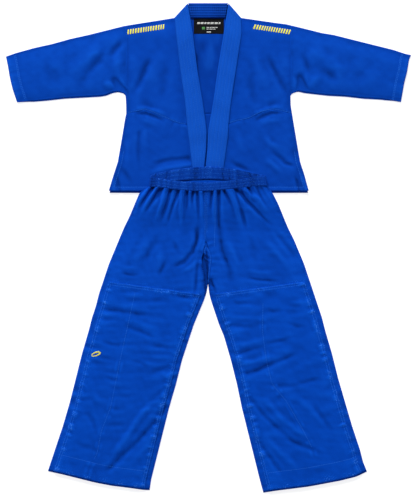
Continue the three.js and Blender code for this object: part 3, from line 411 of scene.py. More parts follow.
def pull(g, t=0.0, b=0.0, l=0.0, r=0.0):
    """Draws a grid's outermost rows and columns in by a distance, towards the rows two in."""
    g = g.copy()

    def draw(edge, inner, d):
        k = inner - edge
        n = np.sqrt((k ** 2).sum(-1))[..., None] + 1e-9
        return edge + k / n * d
    if t: g[0] = draw(g[0], g[2], t)
    if b: g[-1] = draw(g[-1], g[-3], b)
    if l: g[:, 0] = draw(g[:, 0], g[:, 2], l)
    if r: g[:, -1] = draw(g[:, -1], g[:, -3], r)
    return g


def settle(P, pinned, floor, ceil, slack, hold, steps, seed, gravity=0.02, bend=0.25):
    """Cloth relaxed by position-based dynamics on its grid: stretch, shear and
    bending links, a little spare length, gravity, the layer below as a floor."""
    P = P.copy()
    goal = P[..., 2].copy()
    rng = np.random.RandomState(seed)
    w = np.where(pinned, 0.0, 1.0)

    def rest(a, b, extra=1.0):
        return np.sqrt(((b - a) ** 2).sum(-1)) * extra
    A = [slice(0, None)] * 2
    links = []

    def link(sa, sb, k, use_slack):
        a, b = P[sa], P[sb]
        if a.size == 0:
            return
        s = 1 + (slack[sa] + slack[sb]) / 2 if use_slack else 1.0
        links.append((sa, sb, rest(a, b) * s, w[sa], w[sb], k))
    M, N = P.shape[:2]
    for o in (0, 1):
        n = (N - o) // 2
        link((slice(None), slice(o, o + 2 * n, 2)), (slice(None), slice(o + 1, o + 2 * n, 2)), 1.0, True)
        m = (M - o) // 2
        link((slice(o, o + 2 * m, 2), slice(None)), (slice(o + 1, o + 2 * m, 2), slice(None)), 1.0, True)
    for o in (0, 1):
        m = (M - o) // 2
        r0, r1 = slice(o, o + 2 * m, 2), slice(o + 1, o + 2 * m, 2)
        link((r0, slice(0, N - 1)), (r1, slice(1, N)), 0.35, True)
        link((r0, slice(1, N)), (r1, slice(0, N - 1)), 0.35, True)
    for o in range(4):
        if o < 2:
            idx = [i for i in range(N - 2) if i % 4 in (2 * o, 2 * o + 1)]
            a = np.array(idx)
            if len(a):
                sa, sb = (slice(None), a), (slice(None), a + 2)
                links.append((sa, sb, rest(P[sa], P[sb]), w[sa], w[sb], bend))
        else:
            idx = [i for i in range(M - 2) if i % 4 in (2 * (o - 2), 2 * (o - 2) + 1)]
            a = np.array(idx)
            if len(a):
                sa, sb = (a, slice(None)), (a + 2, slice(None))
                links.append((sa, sb, rest(P[sa], P[sb]), w[sa], w[sb], bend))
    P[..., 2] += w * rng.uniform(-0.12, 0.12, w.shape)
    old = P.copy()
    xy = P[..., :2].copy()
    for it in range(steps):
        vel = (P - old) * 0.86
        old = P.copy()
        P += vel * w[..., None]
        P[..., 2] -= gravity * w
        for sa, sb, L, wa, wb, k in links:
            a, b = P[sa], P[sb]
            d = b - a
            n = np.sqrt((d * d).sum(-1)) + 1e-9
            c = k * (n - L) / n / (wa + wb + 1e-9)
            P[sa] = a + d * (c * wa)[..., None]
            P[sb] = b - d * (c * wb)[..., None]
        P[..., 2] += (goal - P[..., 2]) * hold * w
        P[..., :2] += (xy - P[..., :2]) * (0.08 * w)[..., None]
        z = np.clip(P[..., 2], floor, ceil)
        P[..., 2] = np.where(pinned, goal, z)
    return P


def blur(Z, n=1):
    for _ in range(n):
        Z = Z.copy()
        Z[1:-1] = 0.25 * Z[:-2] + 0.5 * Z[1:-1] + 0.25 * Z[2:]
        Z[:, 1:-1] = 0.25 * Z[:, :-2] + 0.5 * Z[:, 1:-1] + 0.25 * Z[:, 2:]
    return Z


# ---------------------------------------------------------------- mesh making
def mesh_object(name, verts, faces, mat, uv=None, crease=None, smooth_all=True, wear=None):
    me = bpy.data.meshes.new(name)
    verts = np.asarray(verts, float) * MM
    me.from_pydata([tuple(v) for v in verts], [], [tuple(int(i) for i in f) for f in faces])
    me.update()
    if smooth_all:
        me.polygons.foreach_set("use_smooth", np.ones(len(me.polygons), bool))
    if uv is not None:
        layer = me.uv_layers.new(name="cloth_uv")
        idx = np.empty(len(me.loops), np.int32)
        me.loops.foreach_get("vertex_index", idx)
        layer.uv.foreach_set("vector", (np.asarray(uv, np.float32)[idx]).ravel())
    # point attribute of painted shade (below zero) and painted highlight (above zero) for the cloth material
    if crease is not None:
        at = me.attributes.new("crease", "FLOAT", "POINT")
        at.data.foreach_set("value", np.asarray(crease, np.float32))
    if wear is not None:
        at = me.attributes.new("wear", "FLOAT", "POINT")
        at.data.foreach_set("value", np.asarray(wear, np.float32))
    me.materials.append(mat)
    ob = bpy.data.objects.new(name, me)
    bpy.context.scene.collection.objects.link(ob)
    return ob


def normals_of(P):
    gu = np.gradient(P, axis=1)
    gv = np.gradient(P, axis=0)
    n = np.cross(gv, gu)
    n /= np.sqrt((n ** 2).sum(-1))[..., None] + 1e-12
    n *= np.where(n[..., 2:3] < 0, -1.0, 1.0)
    return n


def surface_uv(P):
    """Distances across and down the cloth, in metres, so that the weave keeps its scale."""
    M, N = P.shape[:2]
    du = np.sqrt(((P[:, 1:] - P[:, :-1]) ** 2).sum(-1)).mean(0)
    dv = np.sqrt(((P[1:] - P[:-1]) ** 2).sum(-1)).mean(1)
    u = np.r_[0, np.cumsum(du)]
    v = np.r_[0, np.cumsum(dv)]
    U, V = np.meshgrid(u, v)
    return np.stack([U, V], -1).reshape(-1, 2) * MM


def crease_of(P):
    """Hollow (below zero) or crest (above zero) of each point, from the heights around it: the material paints shade in
    hollows and a highlight on crests from this.
    """
    Z = P[..., 2]
    near, wide = blur(Z, 10), blur(Z, 70)
    return np.clip((Z - near) / 1.0 + 0.5 * (Z - wide) / 2.2, -1, 1)


def thick(name, P, mat, t=1.5, crease=None, worn=(), worn_reach=11.0, worn_amount=1.1):
    """Closed cloth with rounded edges, either side of the surface through P. The cloth is
    rubbed lighter in specks along the worn lines."""
    M, N = P.shape[:2]
    wear = None
    if len(worn):
        X, Y = P[..., 0], P[..., 1]
        wear = worn_amount * np.exp(-(distance(worn, X, Y) / worn_reach) ** 2) * np.clip(0.8 + 0.5 * noise2(X, Y, 34, 77), 0.1, 1.4)
    nrm = normals_of(P)
    up, dn = P + nrm * t / 2, P - nrm * t / 2
    ring = ([(0, i) for i in range(N)] + [(j, N - 1) for j in range(1, M)]
            + [(M - 1, i) for i in range(N - 2, -1, -1)] + [(j, 0) for j in range(M - 2, 0, -1)])
    R = np.array(ring)
    edge = P[R[:, 0], R[:, 1]]
    tang = np.roll(edge, -1, 0) - np.roll(edge, 1, 0)
    out = np.cross(nrm[R[:, 0], R[:, 1]], tang)
    out /= np.sqrt((out ** 2).sum(1))[:, None] + 1e-9
    inner = np.stack([P[min(max(j, 1), M - 2), min(max(i, 1), N - 2)] for j, i in ring])
    flip = ((edge - inner) * out).sum(1) < 0
    out[flip] *= -1
    side = edge + out * t * 0.36
    n = M * N
    verts = np.concatenate([up.reshape(-1, 3), dn.reshape(-1, 3), side])
    idx = np.arange(n).reshape(M, N)
    a, b, c, d = idx[:-1, :-1], idx[1:, :-1], idx[1:, 1:], idx[:-1, 1:]
    top = np.stack([a, b, c, d], -1).reshape(-1, 4)
    bot = np.stack([a, d, c, b], -1).reshape(-1, 4) + n
    k = len(ring)
    rid = idx[R[:, 0], R[:, 1]]
    nxt = np.roll(rid, -1)
    s = np.arange(k) + 2 * n
    sn = np.roll(s, -1)
    e1 = np.stack([rid, nxt, sn, s], -1)
    e2 = np.stack([s, sn, nxt + n, rid + n], -1)
    faces = np.concatenate([top, bot, e1, e2])
    v = verts
    q = v[faces]
    vol = (np.cross(q[:, 1] - q[:, 0], q[:, 2] - q[:, 0]) * q[:, 0]).sum() + (np.cross(q[:, 2] - q[:, 0], q[:, 3] - q[:, 0]) * q[:, 0]).sum()
    if vol < 0:
        faces = faces[:, ::-1]
    uv = surface_uv(P)
    uv = np.concatenate([uv, uv, uv[rid]])
    # unless given: painted shade in hollows and painted highlight on crests; the undersides get random tone, and the
    # side strip is a little lighter
    cr = crease_of(P).ravel() if crease is None else crease.ravel()
    under = 0.30 * noise2(P[..., 0], P[..., 1], 62, 91) + 0.16 * noise2(P[..., 0], P[..., 1], 21, 92)
    cr = np.concatenate([cr, under.ravel(), np.minimum(0.25, cr[rid] + 0.3)])
    if wear is not None:
        wr = wear.ravel()
        wear = np.concatenate([wr, wr * 0.6, wr[rid]])
    return mesh_object(name, verts, faces, mat, uv, cr, wear=wear)


def tube_of_sections(name, rings, mat, closed_path=False, uv=None, crease=None, lining=None, wear=None):
    """Closed solid through rings of points, K around by J along; a lining is the wall of
    the hollow inside it."""
    R = np.asarray(rings, float)
    J, K = R.shape[:2]
    verts = R.reshape(-1, 3)
    idx = np.arange(J * K).reshape(J, K)
    nx = np.roll(idx, -1, 1)
    rows = J if closed_path else J - 1
    a, b = idx[:rows], nx[:rows]
    c, d = np.roll(nx, -1, 0)[:rows], np.roll(idx, -1, 0)[:rows]
    faces = [tuple(f) for f in np.stack([a, b, c, d], -1).reshape(-1, 4)]
    if not closed_path:
        faces.append(tuple(idx[0][::-1]))
        faces.append(tuple(idx[-1]))
    vol = 0.0
    for f in faces:
        p0 = verts[f[0]]
        for k in range(1, len(f) - 1):
            vol += float(np.dot(p0, np.cross(verts[f[k]], verts[f[k + 1]])))
    if vol < 0:
        faces = [f[::-1] for f in faces]
    if lining is not None:
        verts = np.concatenate([verts, np.asarray(lining, float).reshape(-1, 3)])
        faces += [tuple(i + J * K for i in f[::-1]) for f in faces]
    if uv is None:
        ds = np.r_[0, np.cumsum(np.sqrt(((R[1:] - R[:-1]) ** 2).sum(-1)).mean(1))]
        dk = np.r_[0, np.cumsum(np.sqrt(((R[:, 1:] - R[:, :-1]) ** 2).sum(-1)).mean(0))]
        U, V = np.meshgrid(dk, ds)
        uv = np.stack([U, V], -1).reshape(-1, 2) * MM
    # painted shade and painted highlight per point, zero unless given
    cr = np.zeros(len(verts))
    if crease is not None:
        cr[:crease.size] = crease.ravel()
    if lining is not None:
        uv = np.concatenate([uv, uv])
    if wear is not None:
        wear = np.r_[wear.ravel(), np.zeros(len(verts) - wear.size)]
    return mesh_object(name, verts, faces, mat, uv, cr, wear=wear)


class Surface:
    """Finds the height and slope of a finished sheet above a point."""

    def __init__(self, *grids):
        self.p = np.concatenate([g.reshape(-1, 3) for g in grids])
        self.n = np.concatenate([normals_of(g).reshape(-1, 3) for g in grids])
        self.tree = kdtree.KDTree(len(self.p))
        for i, q in enumerate(self.p):
            self.tree.insert((q[0], q[1], 0), i)
        self.tree.balance()

    def at(self, x, y, k=4):
        hits = self.tree.find_n((x, y, 0), k)
        w = np.array([1 / (h[2] + 0.05) ** 2 for h in hits])
        ids = [h[1] for h in hits]
        w /= w.sum()
        n = (self.n[ids] * w[:, None]).sum(0)
        return float((self.p[ids, 2] * w).sum()), n / np.linalg.norm(n)


def stitch_row(lines, surf, lift, mat, name, pitch=4.6, run=3.3, r=0.5, wobble=0.12, seed=1):
    """Short raised threads along lines on a surface; each is its own small closed capsule."""
    rng = np.random.RandomState(seed)
    V, F, UV = [], [], []
    prof = [(-0.5, 0.0), (-0.40, 0.75), (0.0, 1.0), (0.40, 0.75), (0.5, 0.0)]
    K = 5
    for line in lines:
        c = rounded(line, 4, 2)
        L = length(c)
        n = max(1, int(L / pitch))
        ts = (np.arange(n) + 0.5) / n
        mid = sample(c, ts)
        e = 0.5 / max(L, 1)
        dirs = sample(c, np.clip(ts + e, 0, 1)) - sample(c, np.clip(ts - e, 0, 1))
        for m, d in zip(mid, dirs):
            nd = np.hypot(*d)
            if nd < 1e-9:
                continue
            d = d / nd
            side = np.array([-d[1], d[0]])
            m = m + side * rng.uniform(-wobble, wobble)
            ln = run * rng.uniform(0.9, 1.08)
            z, nr = surf.at(*m)
            t3 = np.array([d[0], d[1], 0.0])
            t3 -= nr * np.dot(t3, nr)
            t3 /= np.linalg.norm(t3)
            b3 = np.cross(nr, t3)
            base = np.array([m[0], m[1], z]) + nr * lift
            o = len(V)
            for s, q in prof:
                p = base + t3 * s * ln
                if q == 0:
                    V.append(p - nr * r * 0.5)
                    UV.append((m[0] * MM, m[1] * MM))
                else:
                    for k in range(K):
                        a = 2 * math.pi * k / K + math.pi / 2
                        V.append(p + (b3 * math.cos(a) * 1.15 + nr * math.sin(a)) * r * q)
                        UV.append((m[0] * MM, m[1] * MM))
            r1, r2, r3, tail = o + 1, o + 1 + K, o + 1 + 2 * K, o + 1 + 3 * K
            for k in range(K):
                k2 = (k + 1) % K
                F.append((o, r1 + k2, r1 + k))
                F.append((r1 + k, r1 + k2, r2 + k2, r2 + k))
                F.append((r2 + k, r2 + k2, r3 + k2, r3 + k))
                F.append((r3 + k, r3 + k2, tail))
    V = np.array(V)
    ob = mesh_object(name, V, F, mat, np.array(UV), np.zeros(len(V)))
    return ob


# ------------------------------------------------------------------ materials
def srgb(r, g, b):
    def f(c):
        c /= 255.0
        return c / 12.92 if c <= 0.04045 else ((c + 0.055) / 1.055) ** 2.4
    return (f(r), f(g), f(b))


class Nodes:
    def __init__(self, name):
        self.mat = bpy.data.materials.new(name)
        self.mat.use_nodes = True
        self.nt = self.mat.node_tree
        self.bsdf = self.nt.nodes["Principled BSDF"]

    def add(self, kind, **props):
        n = self.nt.nodes.new(kind)
        for k, v in props.items():
            setattr(n, k, v)
        return n

    def math(self, op, a, b=None):
        n = self.add("ShaderNodeMath", operation=op)
        for i, x in enumerate((a, b)):
            if x is None:
                continue
            if isinstance(x, (int, float)):
                n.inputs[i].default_value = x
            else:
                self.nt.links.new(x, n.inputs[i])
        return n.outputs[0]

    def link(self, a, b):
        self.nt.links.new(a, b)


def cloth_material(name, base, kind="pearl", pitch=3.2, bump=0.5, spread=0.12, sheen=0.06,
                   sheen_tint=(0.01, 0.2, 1.0), rough=0.88, fold_shade_depth=0.8):
    """Woven cotton: dye variation, painted shade in hollows, painted highlight on crests, rubbed pale specks, weave
    relief and slub.
    """
    m = Nodes(name)
    uvn = m.add("ShaderNodeUVMap", uv_map="cloth_uv")
    sep = m.add("ShaderNodeSeparateXYZ")
    m.link(uvn.outputs["UV"], sep.inputs[0])
    u, v = sep.outputs[0], sep.outputs[1]
    k = 2 * math.pi / (pitch * MM)
    if kind == "pearl":
        row = m.math("SINE", m.math("MULTIPLY", v, k))
        col = m.math("SINE", m.math("MULTIPLY", u, k * 0.72))
        weave = m.math("MULTIPLY", row, col)
    elif kind == "twill":
        diag = m.math("ADD", m.math("MULTIPLY", u, k), m.math("MULTIPLY", v, k * 1.35))
        weave = m.math("SINE", diag)
    elif kind == "rib":
        weave = m.math("SINE", m.math("MULTIPLY", v, k))
    else:
        row = m.math("SINE", m.math("MULTIPLY", v, k))
        col = m.math("SINE", m.math("MULTIPLY", u, k))
        weave = m.math("MULTIPLY", m.math("ADD", row, col), 0.5)
    cloud = m.add("ShaderNodeTexNoise")
    cloud.inputs["Scale"].default_value = 14.0
    cloud.inputs["Detail"].default_value = 3.0
    m.link(uvn.outputs["UV"], cloud.inputs["Vector"])
    slub = m.add("ShaderNodeTexNoise")
    slub.inputs["Scale"].default_value = 420.0
    slub.inputs["Detail"].default_value = 2.0
    m.link(uvn.outputs["UV"], slub.inputs["Vector"])
    # attribute of painted shade (below zero) and painted highlight (above zero); depth sets how strong they are
    crease = m.add("ShaderNodeAttribute", attribute_name="crease")
    # one number: painted shade in hollows, painted highlight on crests, with dye and yarn variation
    tone = m.math("MULTIPLY", crease.outputs["Fac"], fold_shade_depth * 0.40)
    tone = m.math("ADD", tone, m.math("MULTIPLY", m.math("SUBTRACT", cloud.outputs["Fac"], 0.5), spread * 3.0))
    tone = m.math("ADD", tone, m.math("MULTIPLY", m.math("SUBTRACT", slub.outputs["Fac"], 0.5), spread * 2.7))
    tone = m.math("ADD", tone, m.math("MULTIPLY", weave, spread * 0.45))
    # rubbed places: pale specks of yarn
    wear = m.add("ShaderNodeAttribute", attribute_name="wear")
    fleck = m.add("ShaderNodeTexNoise")
    fleck.inputs["Scale"].default_value = 330.0
    fleck.inputs["Detail"].default_value = 1.0
    m.link(uvn.outputs["UV"], fleck.inputs["Vector"])
    spot = m.math("MINIMUM", m.math("MAXIMUM", m.math("MULTIPLY", m.math("SUBTRACT", fleck.outputs["Fac"], 0.53), 7.0), 0.0), 1.0)
    tone = m.math("MULTIPLY", m.math("MINIMUM", m.math("ADD", tone, 0.5), 1.0), 0.8)
    tone = m.math("ADD", tone, m.math("MULTIPLY", m.math("MULTIPLY", wear.outputs["Fac"], spot), 0.5))
    # colour ramp: the darker stops give painted shade in hollows and darker dye, the stop at 0.8 a painted highlight on
    # crests and lighter dye, the top stop pale rubbed yarn
    ramp = m.add("ShaderNodeValToRGB")
    r, g, b = base
    e = ramp.color_ramp.elements
    e[0].position = 0.0
    e[0].color = (r * 0.28, g * 0.20, b * 0.24, 1)
    low = ramp.color_ramp.elements.new(0.176)
    low.color = (r * 0.80, g * 0.72, b * 0.74, 1)
    e = ramp.color_ramp.elements
    e[-1].position = 1.0
    e[-1].color = (r * 1.2 + 0.05, g * 1.6 + 0.13, b * 1.34 + 0.12, 1)
    mid = ramp.color_ramp.elements.new(0.4)
    mid.color = (r, g, b, 1)
    highlight_stop = ramp.color_ramp.elements.new(0.8)
    highlight_stop.color = (r * 1.6 + 0.001, g * 1.5 + 0.006, b * 1.34, 1)
    m.link(tone, ramp.inputs["Fac"])
    m.link(ramp.outputs["Color"], m.bsdf.inputs["Base Color"])
    rg = m.math("ADD", m.math("MULTIPLY", slub.outputs["Fac"], 0.12), rough - 0.06)
    m.link(rg, m.bsdf.inputs["Roughness"])
    m.bsdf.inputs["Specular IOR Level"].default_value = 0.02
    m.bsdf.inputs["Sheen Weight"].default_value = sheen
    m.bsdf.inputs["Sheen Roughness"].default_value = 0.45
    m.bsdf.inputs["Sheen Tint"].default_value = (*sheen_tint, 1)
    h = m.math("ADD", m.math("MULTIPLY", weave, 0.6), m.math("MULTIPLY", slub.outputs["Fac"], 0.8))
    bp = m.add("ShaderNodeBump")
    bp.inputs["Strength"].default_value = bump
    bp.inputs["Distance"].default_value = 0.0005
    m.link(h, bp.inputs["Height"])
    m.link(bp.outputs["Normal"], m.bsdf.inputs["Normal"])
    return m.mat


BLUE = srgb(7, 69, 181)
M_CHEST = cloth_material("pearl_weave_blue", srgb(7, 68, 180), "pearl", 3.4)
# a darker copy of the chest weave: painted shade for the inside back seen in the neck opening and the back skirt below
# the hem
M_INNER_SHADED = cloth_material("pearl_weave_inner_shaded", srgb(6, 62, 168), "pearl", 3.4, spread=0.07)
M_SLEEVE = cloth_material("pearl_weave_sleeve", srgb(7, 70, 183), "pearl", 3.4)
M_LAPEL = cloth_material("lapel_rib_blue", srgb(17, 84, 199), "rib", 2.6, bump=0.6, spread=0.10, fold_shade_depth=0.5)
M_COLLAR = cloth_material("collar_rib_blue", srgb(12, 70, 178), "rib", 2.1, bump=0.4, spread=0.10, fold_shade_depth=1.2)
M_TROUSER = cloth_material("trouser_twill_blue", srgb(6, 73, 192), "twill", 1.5, bump=0.35, fold_shade_depth=0.8)
M_BAND = cloth_material("waistband_twill_blue", srgb(8, 59, 160), "twill", 1.5, bump=0.35, fold_shade_depth=0.85)
M_PATCH = cloth_material("patch_twill_blue", srgb(5, 74, 195), "twill", 1.5, bump=0.35, fold_shade_depth=0.9)
M_THREAD = cloth_material("thread_blue", srgb(44, 120, 228), "plain", 0.8, bump=0.2, spread=0.05)
M_THREAD_DARK = cloth_material("thread_deep_blue", srgb(5, 52, 150), "plain", 0.8, bump=0.2, spread=0.05)
M_YELLOW = cloth_material("satin_thread_yellow", srgb(250, 244, 88), "rib", 0.9, bump=0.4, spread=0.05,
                          sheen_tint=(1, 0.95, 0.6), rough=0.6)
M_LABEL = cloth_material("label_black", srgb(24, 24, 27), "plain", 0.9, bump=0.3, spread=0.2,
                         sheen_tint=(0.6, 0.6, 0.65), rough=0.7)
M_WHITE = cloth_material("label_thread_pale", srgb(206, 208, 205), "rib", 0.8, bump=0.3, spread=0.12,
                         sheen_tint=(1, 1, 1), rough=0.7)
M_GREEN = cloth_material("label_thread_green", srgb(86, 150, 84), "rib", 0.8, bump=0.3, spread=0.12,
                         sheen_tint=(0.7, 1, 0.7), rough=0.7)
M_FOAM = cloth_material("foam_strip", srgb(222, 220, 208), "plain", 2.4, bump=0.3, spread=0.12,
                        sheen_tint=(1, 1, 1), rough=0.9)
M_ELASTIC = cloth_material("elastic_rib", srgb(226, 226, 220), "rib", 1.6, bump=0.5, spread=0.12,
                           sheen_tint=(1, 1, 1), rough=0.8)

STEPS = 240


def drape(g, z, under, top_room, seed, slack=None, pin=None, steps=None, hold=0.02, low=None, high=None, gravity=0.02):
    """Grid g with heights z, settled as cloth over the layer below it."""
    P = np.dstack([g, z])
    M, N = z.shape
    pinned = np.zeros((M, N), bool)
    if pin is None:
        pin = "tblr"
    if "t" in pin: pinned[0] = True
    if "b" in pin: pinned[-1] = True
    if "l" in pin: pinned[:, 0] = True
    if "r" in pin: pinned[:, -1] = True
    floor = under if low is None else low
    ceil = z + top_room if high is None else high
    P[..., 2] = np.clip(P[..., 2], floor, ceil)
    n = STEPS if steps is None else (steps if STEPS else 0)
    if n:
        sl = np.full((M, N), 0.002) if slack is None else slack
        P = settle(P, pinned, floor, ceil, sl, hold, n, seed, gravity)
        P[..., 2] = blur(P[..., 2], 1)
    return P


def seam_shape(X, Y, lines, groove=1.0, width=2.6, pucker=0.7, reach=16.0, wave=9.0, seed=0):
    """Stitched seams: a narrow groove, and gathers that die away from it."""
    out = np.zeros(np.shape(X))
    for i, line in enumerate(lines):
        c = rounded(line, 5, 3)
        d, s, L = along(c, X, Y)
        out -= groove * np.exp(-(d / width) ** 2)
        if pucker:
            n = noise1(s, wave, seed + 11 * i) + 0.5 * noise1(s, wave * 0.55, seed + 11 * i + 5)
            out += pucker * n * np.exp(-d / reach) * (1 - np.exp(-(d / (width * 1.2)) ** 2))
    return out


# ------------------------------------------------------------ camera and stage
VIEW_H, VIEW_Y, DIST = 1.380, -0.0081, 6.0
cam_data = bpy.data.cameras.new("camera")
cam_data.lens = 36.0 * (DIST - 0.008) / VIEW_H
cam_data.sensor_width = 36.0
cam_data.clip_end = 60
cam = bpy.data.objects.new("camera", cam_data)
cam.location = (0.0, VIEW_Y, DIST)
bpy.context.scene.collection.objects.link(cam)
bpy.context.scene.camera = cam


def area_light(name, loc, aim, size, power, size_y=None):
    ld = bpy.data.lights.new(name, "AREA")
    ld.shape = "RECTANGLE"
    ld.size, ld.size_y = size, size_y or size
    ld.energy = power
    ob = bpy.data.objects.new(name, ld)
    ob.location = loc
    ob.rotation_euler = (Vector(aim) - Vector(loc)).to_track_quat("-Z", "Y").to_euler()
    bpy.context.scene.collection.objects.link(ob)
    return ob


area_light("key_softbox", (-1.3, 6.0, 4.3), (0, -0.05, 0), 2.6, 560, 2.0)
area_light("top_softbox", (0.6, -0.6, 4.6), (0, -0.1, 0), 2.6, 14)
world = bpy.data.worlds.new("studio")
bpy.context.scene.world = world
world.use_nodes = True
world.node_tree.nodes["Background"].inputs["Color"].default_value = (0.93, 0.96, 1.0, 1)
world.node_tree.nodes["Background"].inputs["Strength"].default_value = 0.22
bpy.context.scene.view_settings.view_transform = "Standard"

fm = bpy.data.materials.new("studio_floor")
fm.use_nodes = True
fb = fm.node_tree.nodes["Principled BSDF"]
fb.inputs["Base Color"].default_value = (0.55, 0.55, 0.55, 1)
fb.inputs["Roughness"].default_value = 0.9
fb.inputs["Specular IOR Level"].default_value = 0.0
fb.inputs["Emission Color"].default_value = (1, 1, 1, 1)
fb.inputs["Emission Strength"].default_value = 0.74
floor_me = bpy.data.meshes.new("studio_floor")
# a wide floor that sweeps up all round, far away, so that low views have a plain backdrop
sweep = [(24.0, -0.0012)] + [(24 + 5 * math.sin(a), 5 - 0.0012 - 5 * math.cos(a)) for a in np.linspace(0.08, math.pi / 2, 14)] + [(29.0, 7.0)]
around = 48
fv = [(0.0, 0.0, -0.0012)] + [(r * math.cos(2 * math.pi * k / around), r * math.sin(2 * math.pi * k / around), h)
                              for r, h in sweep for k in range(around)]
ff = [(0, 1 + k, 1 + (k + 1) % around) for k in range(around)]
ff += [(1 + j * around + k, 1 + (j + 1) * around + k, 1 + (j + 1) * around + (k + 1) % around, 1 + j * around + (k + 1) % around)
       for j in range(len(sweep) - 1) for k in range(around)]
floor_me.from_pydata(fv, [], ff)
floor_me.polygons.foreach_set("use_smooth", [True] * len(ff))
floor_me.materials.append(fm)
floor = bpy.data.objects.new("studio_floor", floor_me)
bpy.context.scene.collection.objects.link(floor)
floor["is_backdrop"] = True


def bends(ob):
    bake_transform(ob)


# --------------------------------------------------------------- jacket, back
SH_R = rounded(SHOULDER_R, 4, 3)
SH_L = rounded(SHOULDER_L, 4, 3)
ARM_X_R, ARM_X_L = -228.0, 227.5


def cut_x(c, x, keep):
    """Part of a polyline inside (keep=1) or outside (keep=-1) of |x|, ending on it."""
    c = arr(c)
    out = []
    for i, p in enumerate(c):
        inside = abs(p[0]) <= abs(x)
        if i:
            q = c[i - 1]
            if (abs(q[0]) <= abs(x)) != inside:
                t = (x - q[0]) / (p[0] - q[0])
                out.append(q + (p - q) * t)
        if inside == (keep > 0):
            out.append(p)
    return np.array(out)


sh_r_in, sh_l_in = cut_x(SHOULDER_R, ARM_X_R, 1), cut_x(SHOULDER_L, ARM_X_L, 1)
PIT_R, PIT_L = np.array([-228.6, 417.5]), np.array([226.0, 417.5])
arm_r = rounded([sh_r_in[0], [-225.5, 560], [-227, 480], PIT_R], 20, 4)
arm_l = rounded([sh_l_in[0], [226.5, 560], [229, 480], PIT_L], 20, 4)
side_r = arr([PIT_R] + SIDE_R[4:])
side_l = arr([PIT_L] + SIDE_L[4:])

body_l = np.vstack([arm_r, side_r[1:]])
body_r = np.vstack([arm_l, side_l[1:]])
back_top = np.vstack([sh_r_in, [[-60, 669.5], [57, 669.5]], sh_l_in[::-1]])
back_bottom = arr([SIDE_R[-1], SIDE_L[-1]])
g = coons(back_top, back_bottom, body_l, body_r, 5.0)
g = pull(g, b=0.3)
X, Y = g[..., 0], g[..., 1]
z = 0.85 + 0.0 * X
neck = smooth((Y - 470) / 90) * smooth((86 - np.abs(X)) / 40)
zb = z + neck * (0.55 + 0.65 * noise2(X, Y, 75, 31)) + 0.12 * noise2(X, Y, 30, 32)
hollow = folds([(-1.4, 20, .2, 0, 1, [(-50, 590), (-40, 540), (-28, 470)]),
                (-1.2, 18, .2, 0, 1, [(50, 590), (40, 540), (24, 470)]),
                (1.0, 26, .2, 1, 1, [(0, 580), (2, 540), (3, 470)]),
                (1.3, 20, .3, 1, 1, [(-24, 560), (-8, 520), (6, 470)])], X, Y)
zb = np.clip(zb + hollow, 0.8, 4.6)
P_back = np.dstack([g, zb])
# painted shade in dark folds beside the lapels, and a painted highlight down the middle of the back
neck_shade_and_highlight = folds([(-1.5, 9, .4, 1, 1, [(-42, 560), (-34, 520), (-30, 470), (-22, 440)]),
                (-0.9, 12, .3, 1, 1, [(-20, 575), (-12, 540), (-6, 500)]),
                (-1.0, 9, .4, 1, 1, [(40, 540), (30, 490), (22, 440)]),
                (0.9, 14, .2, 1, 1, [(2, 590), (8, 540), (6, 480)])], X, Y)
back = thick("jacket_back_cloth", P_back, M_INNER_SHADED, crease=np.clip(crease_of(P_back) + neck_shade_and_highlight, -1.2, 1))
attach(back, "jacket"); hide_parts("jacket_back_panel")

HEM_DROP = 5.5
hem_r, hem_l = arr(SKIRT_SIDE_R[-1]), arr(SKIRT_SIDE_L[-1])
g = coons(arr([SIDE_R[-1], SIDE_L[-1]]), arr([hem_r + [1.5, -HEM_DROP], [0, hem_r[1] - HEM_DROP - 1.0], hem_l + [-1.5, -HEM_DROP]]),
          np.vstack([SKIRT_SIDE_R[:-1], [hem_r + [1.5, -HEM_DROP]]]), np.vstack([SKIRT_SIDE_L[:-1], [hem_l + [-1.5, -HEM_DROP]]]), 5.0)
g = pull(g, t=0.3)
X, Y = g[..., 0], g[..., 1]
P_bskirt = np.dstack([g, 0.85 + 0.15 * (noise2(X, Y, 40, 33) + 1) * 0.5])
bskirt = thick("jacket_back_skirt_cloth", P_bskirt, M_INNER_SHADED)
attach(bskirt, "jacket"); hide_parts("jacket_back_skirt")

# -------------------------------------------------------------- jacket, fronts
yoke_r = rounded(YOKE_SEAM_R, 5, 3)
yoke_l = rounded(YOKE_SEAM_L, 5, 3)
lap_r_up, lap_l_up = rounded(LAPEL_OUTER_R_UP, 10, 4), rounded(LAPEL_OUTER_L_UP, 10, 4)
lap_r_lo, lap_l_lo = rounded(LAPEL_OUTER_R_LOW, 10, 4), rounded(LAPEL_OUTER_L_LOW, 10, 4)
hemline_r = arr([hem_r, LAPEL_OUTER_R_LOW[-1]])
hemline_l = arr([hem_l, LAPEL_OUTER_L_LOW[-1]])
under_band = lambda X, Y: (np.abs(X) < 185) & (Y < 236)

STEP = 2.5


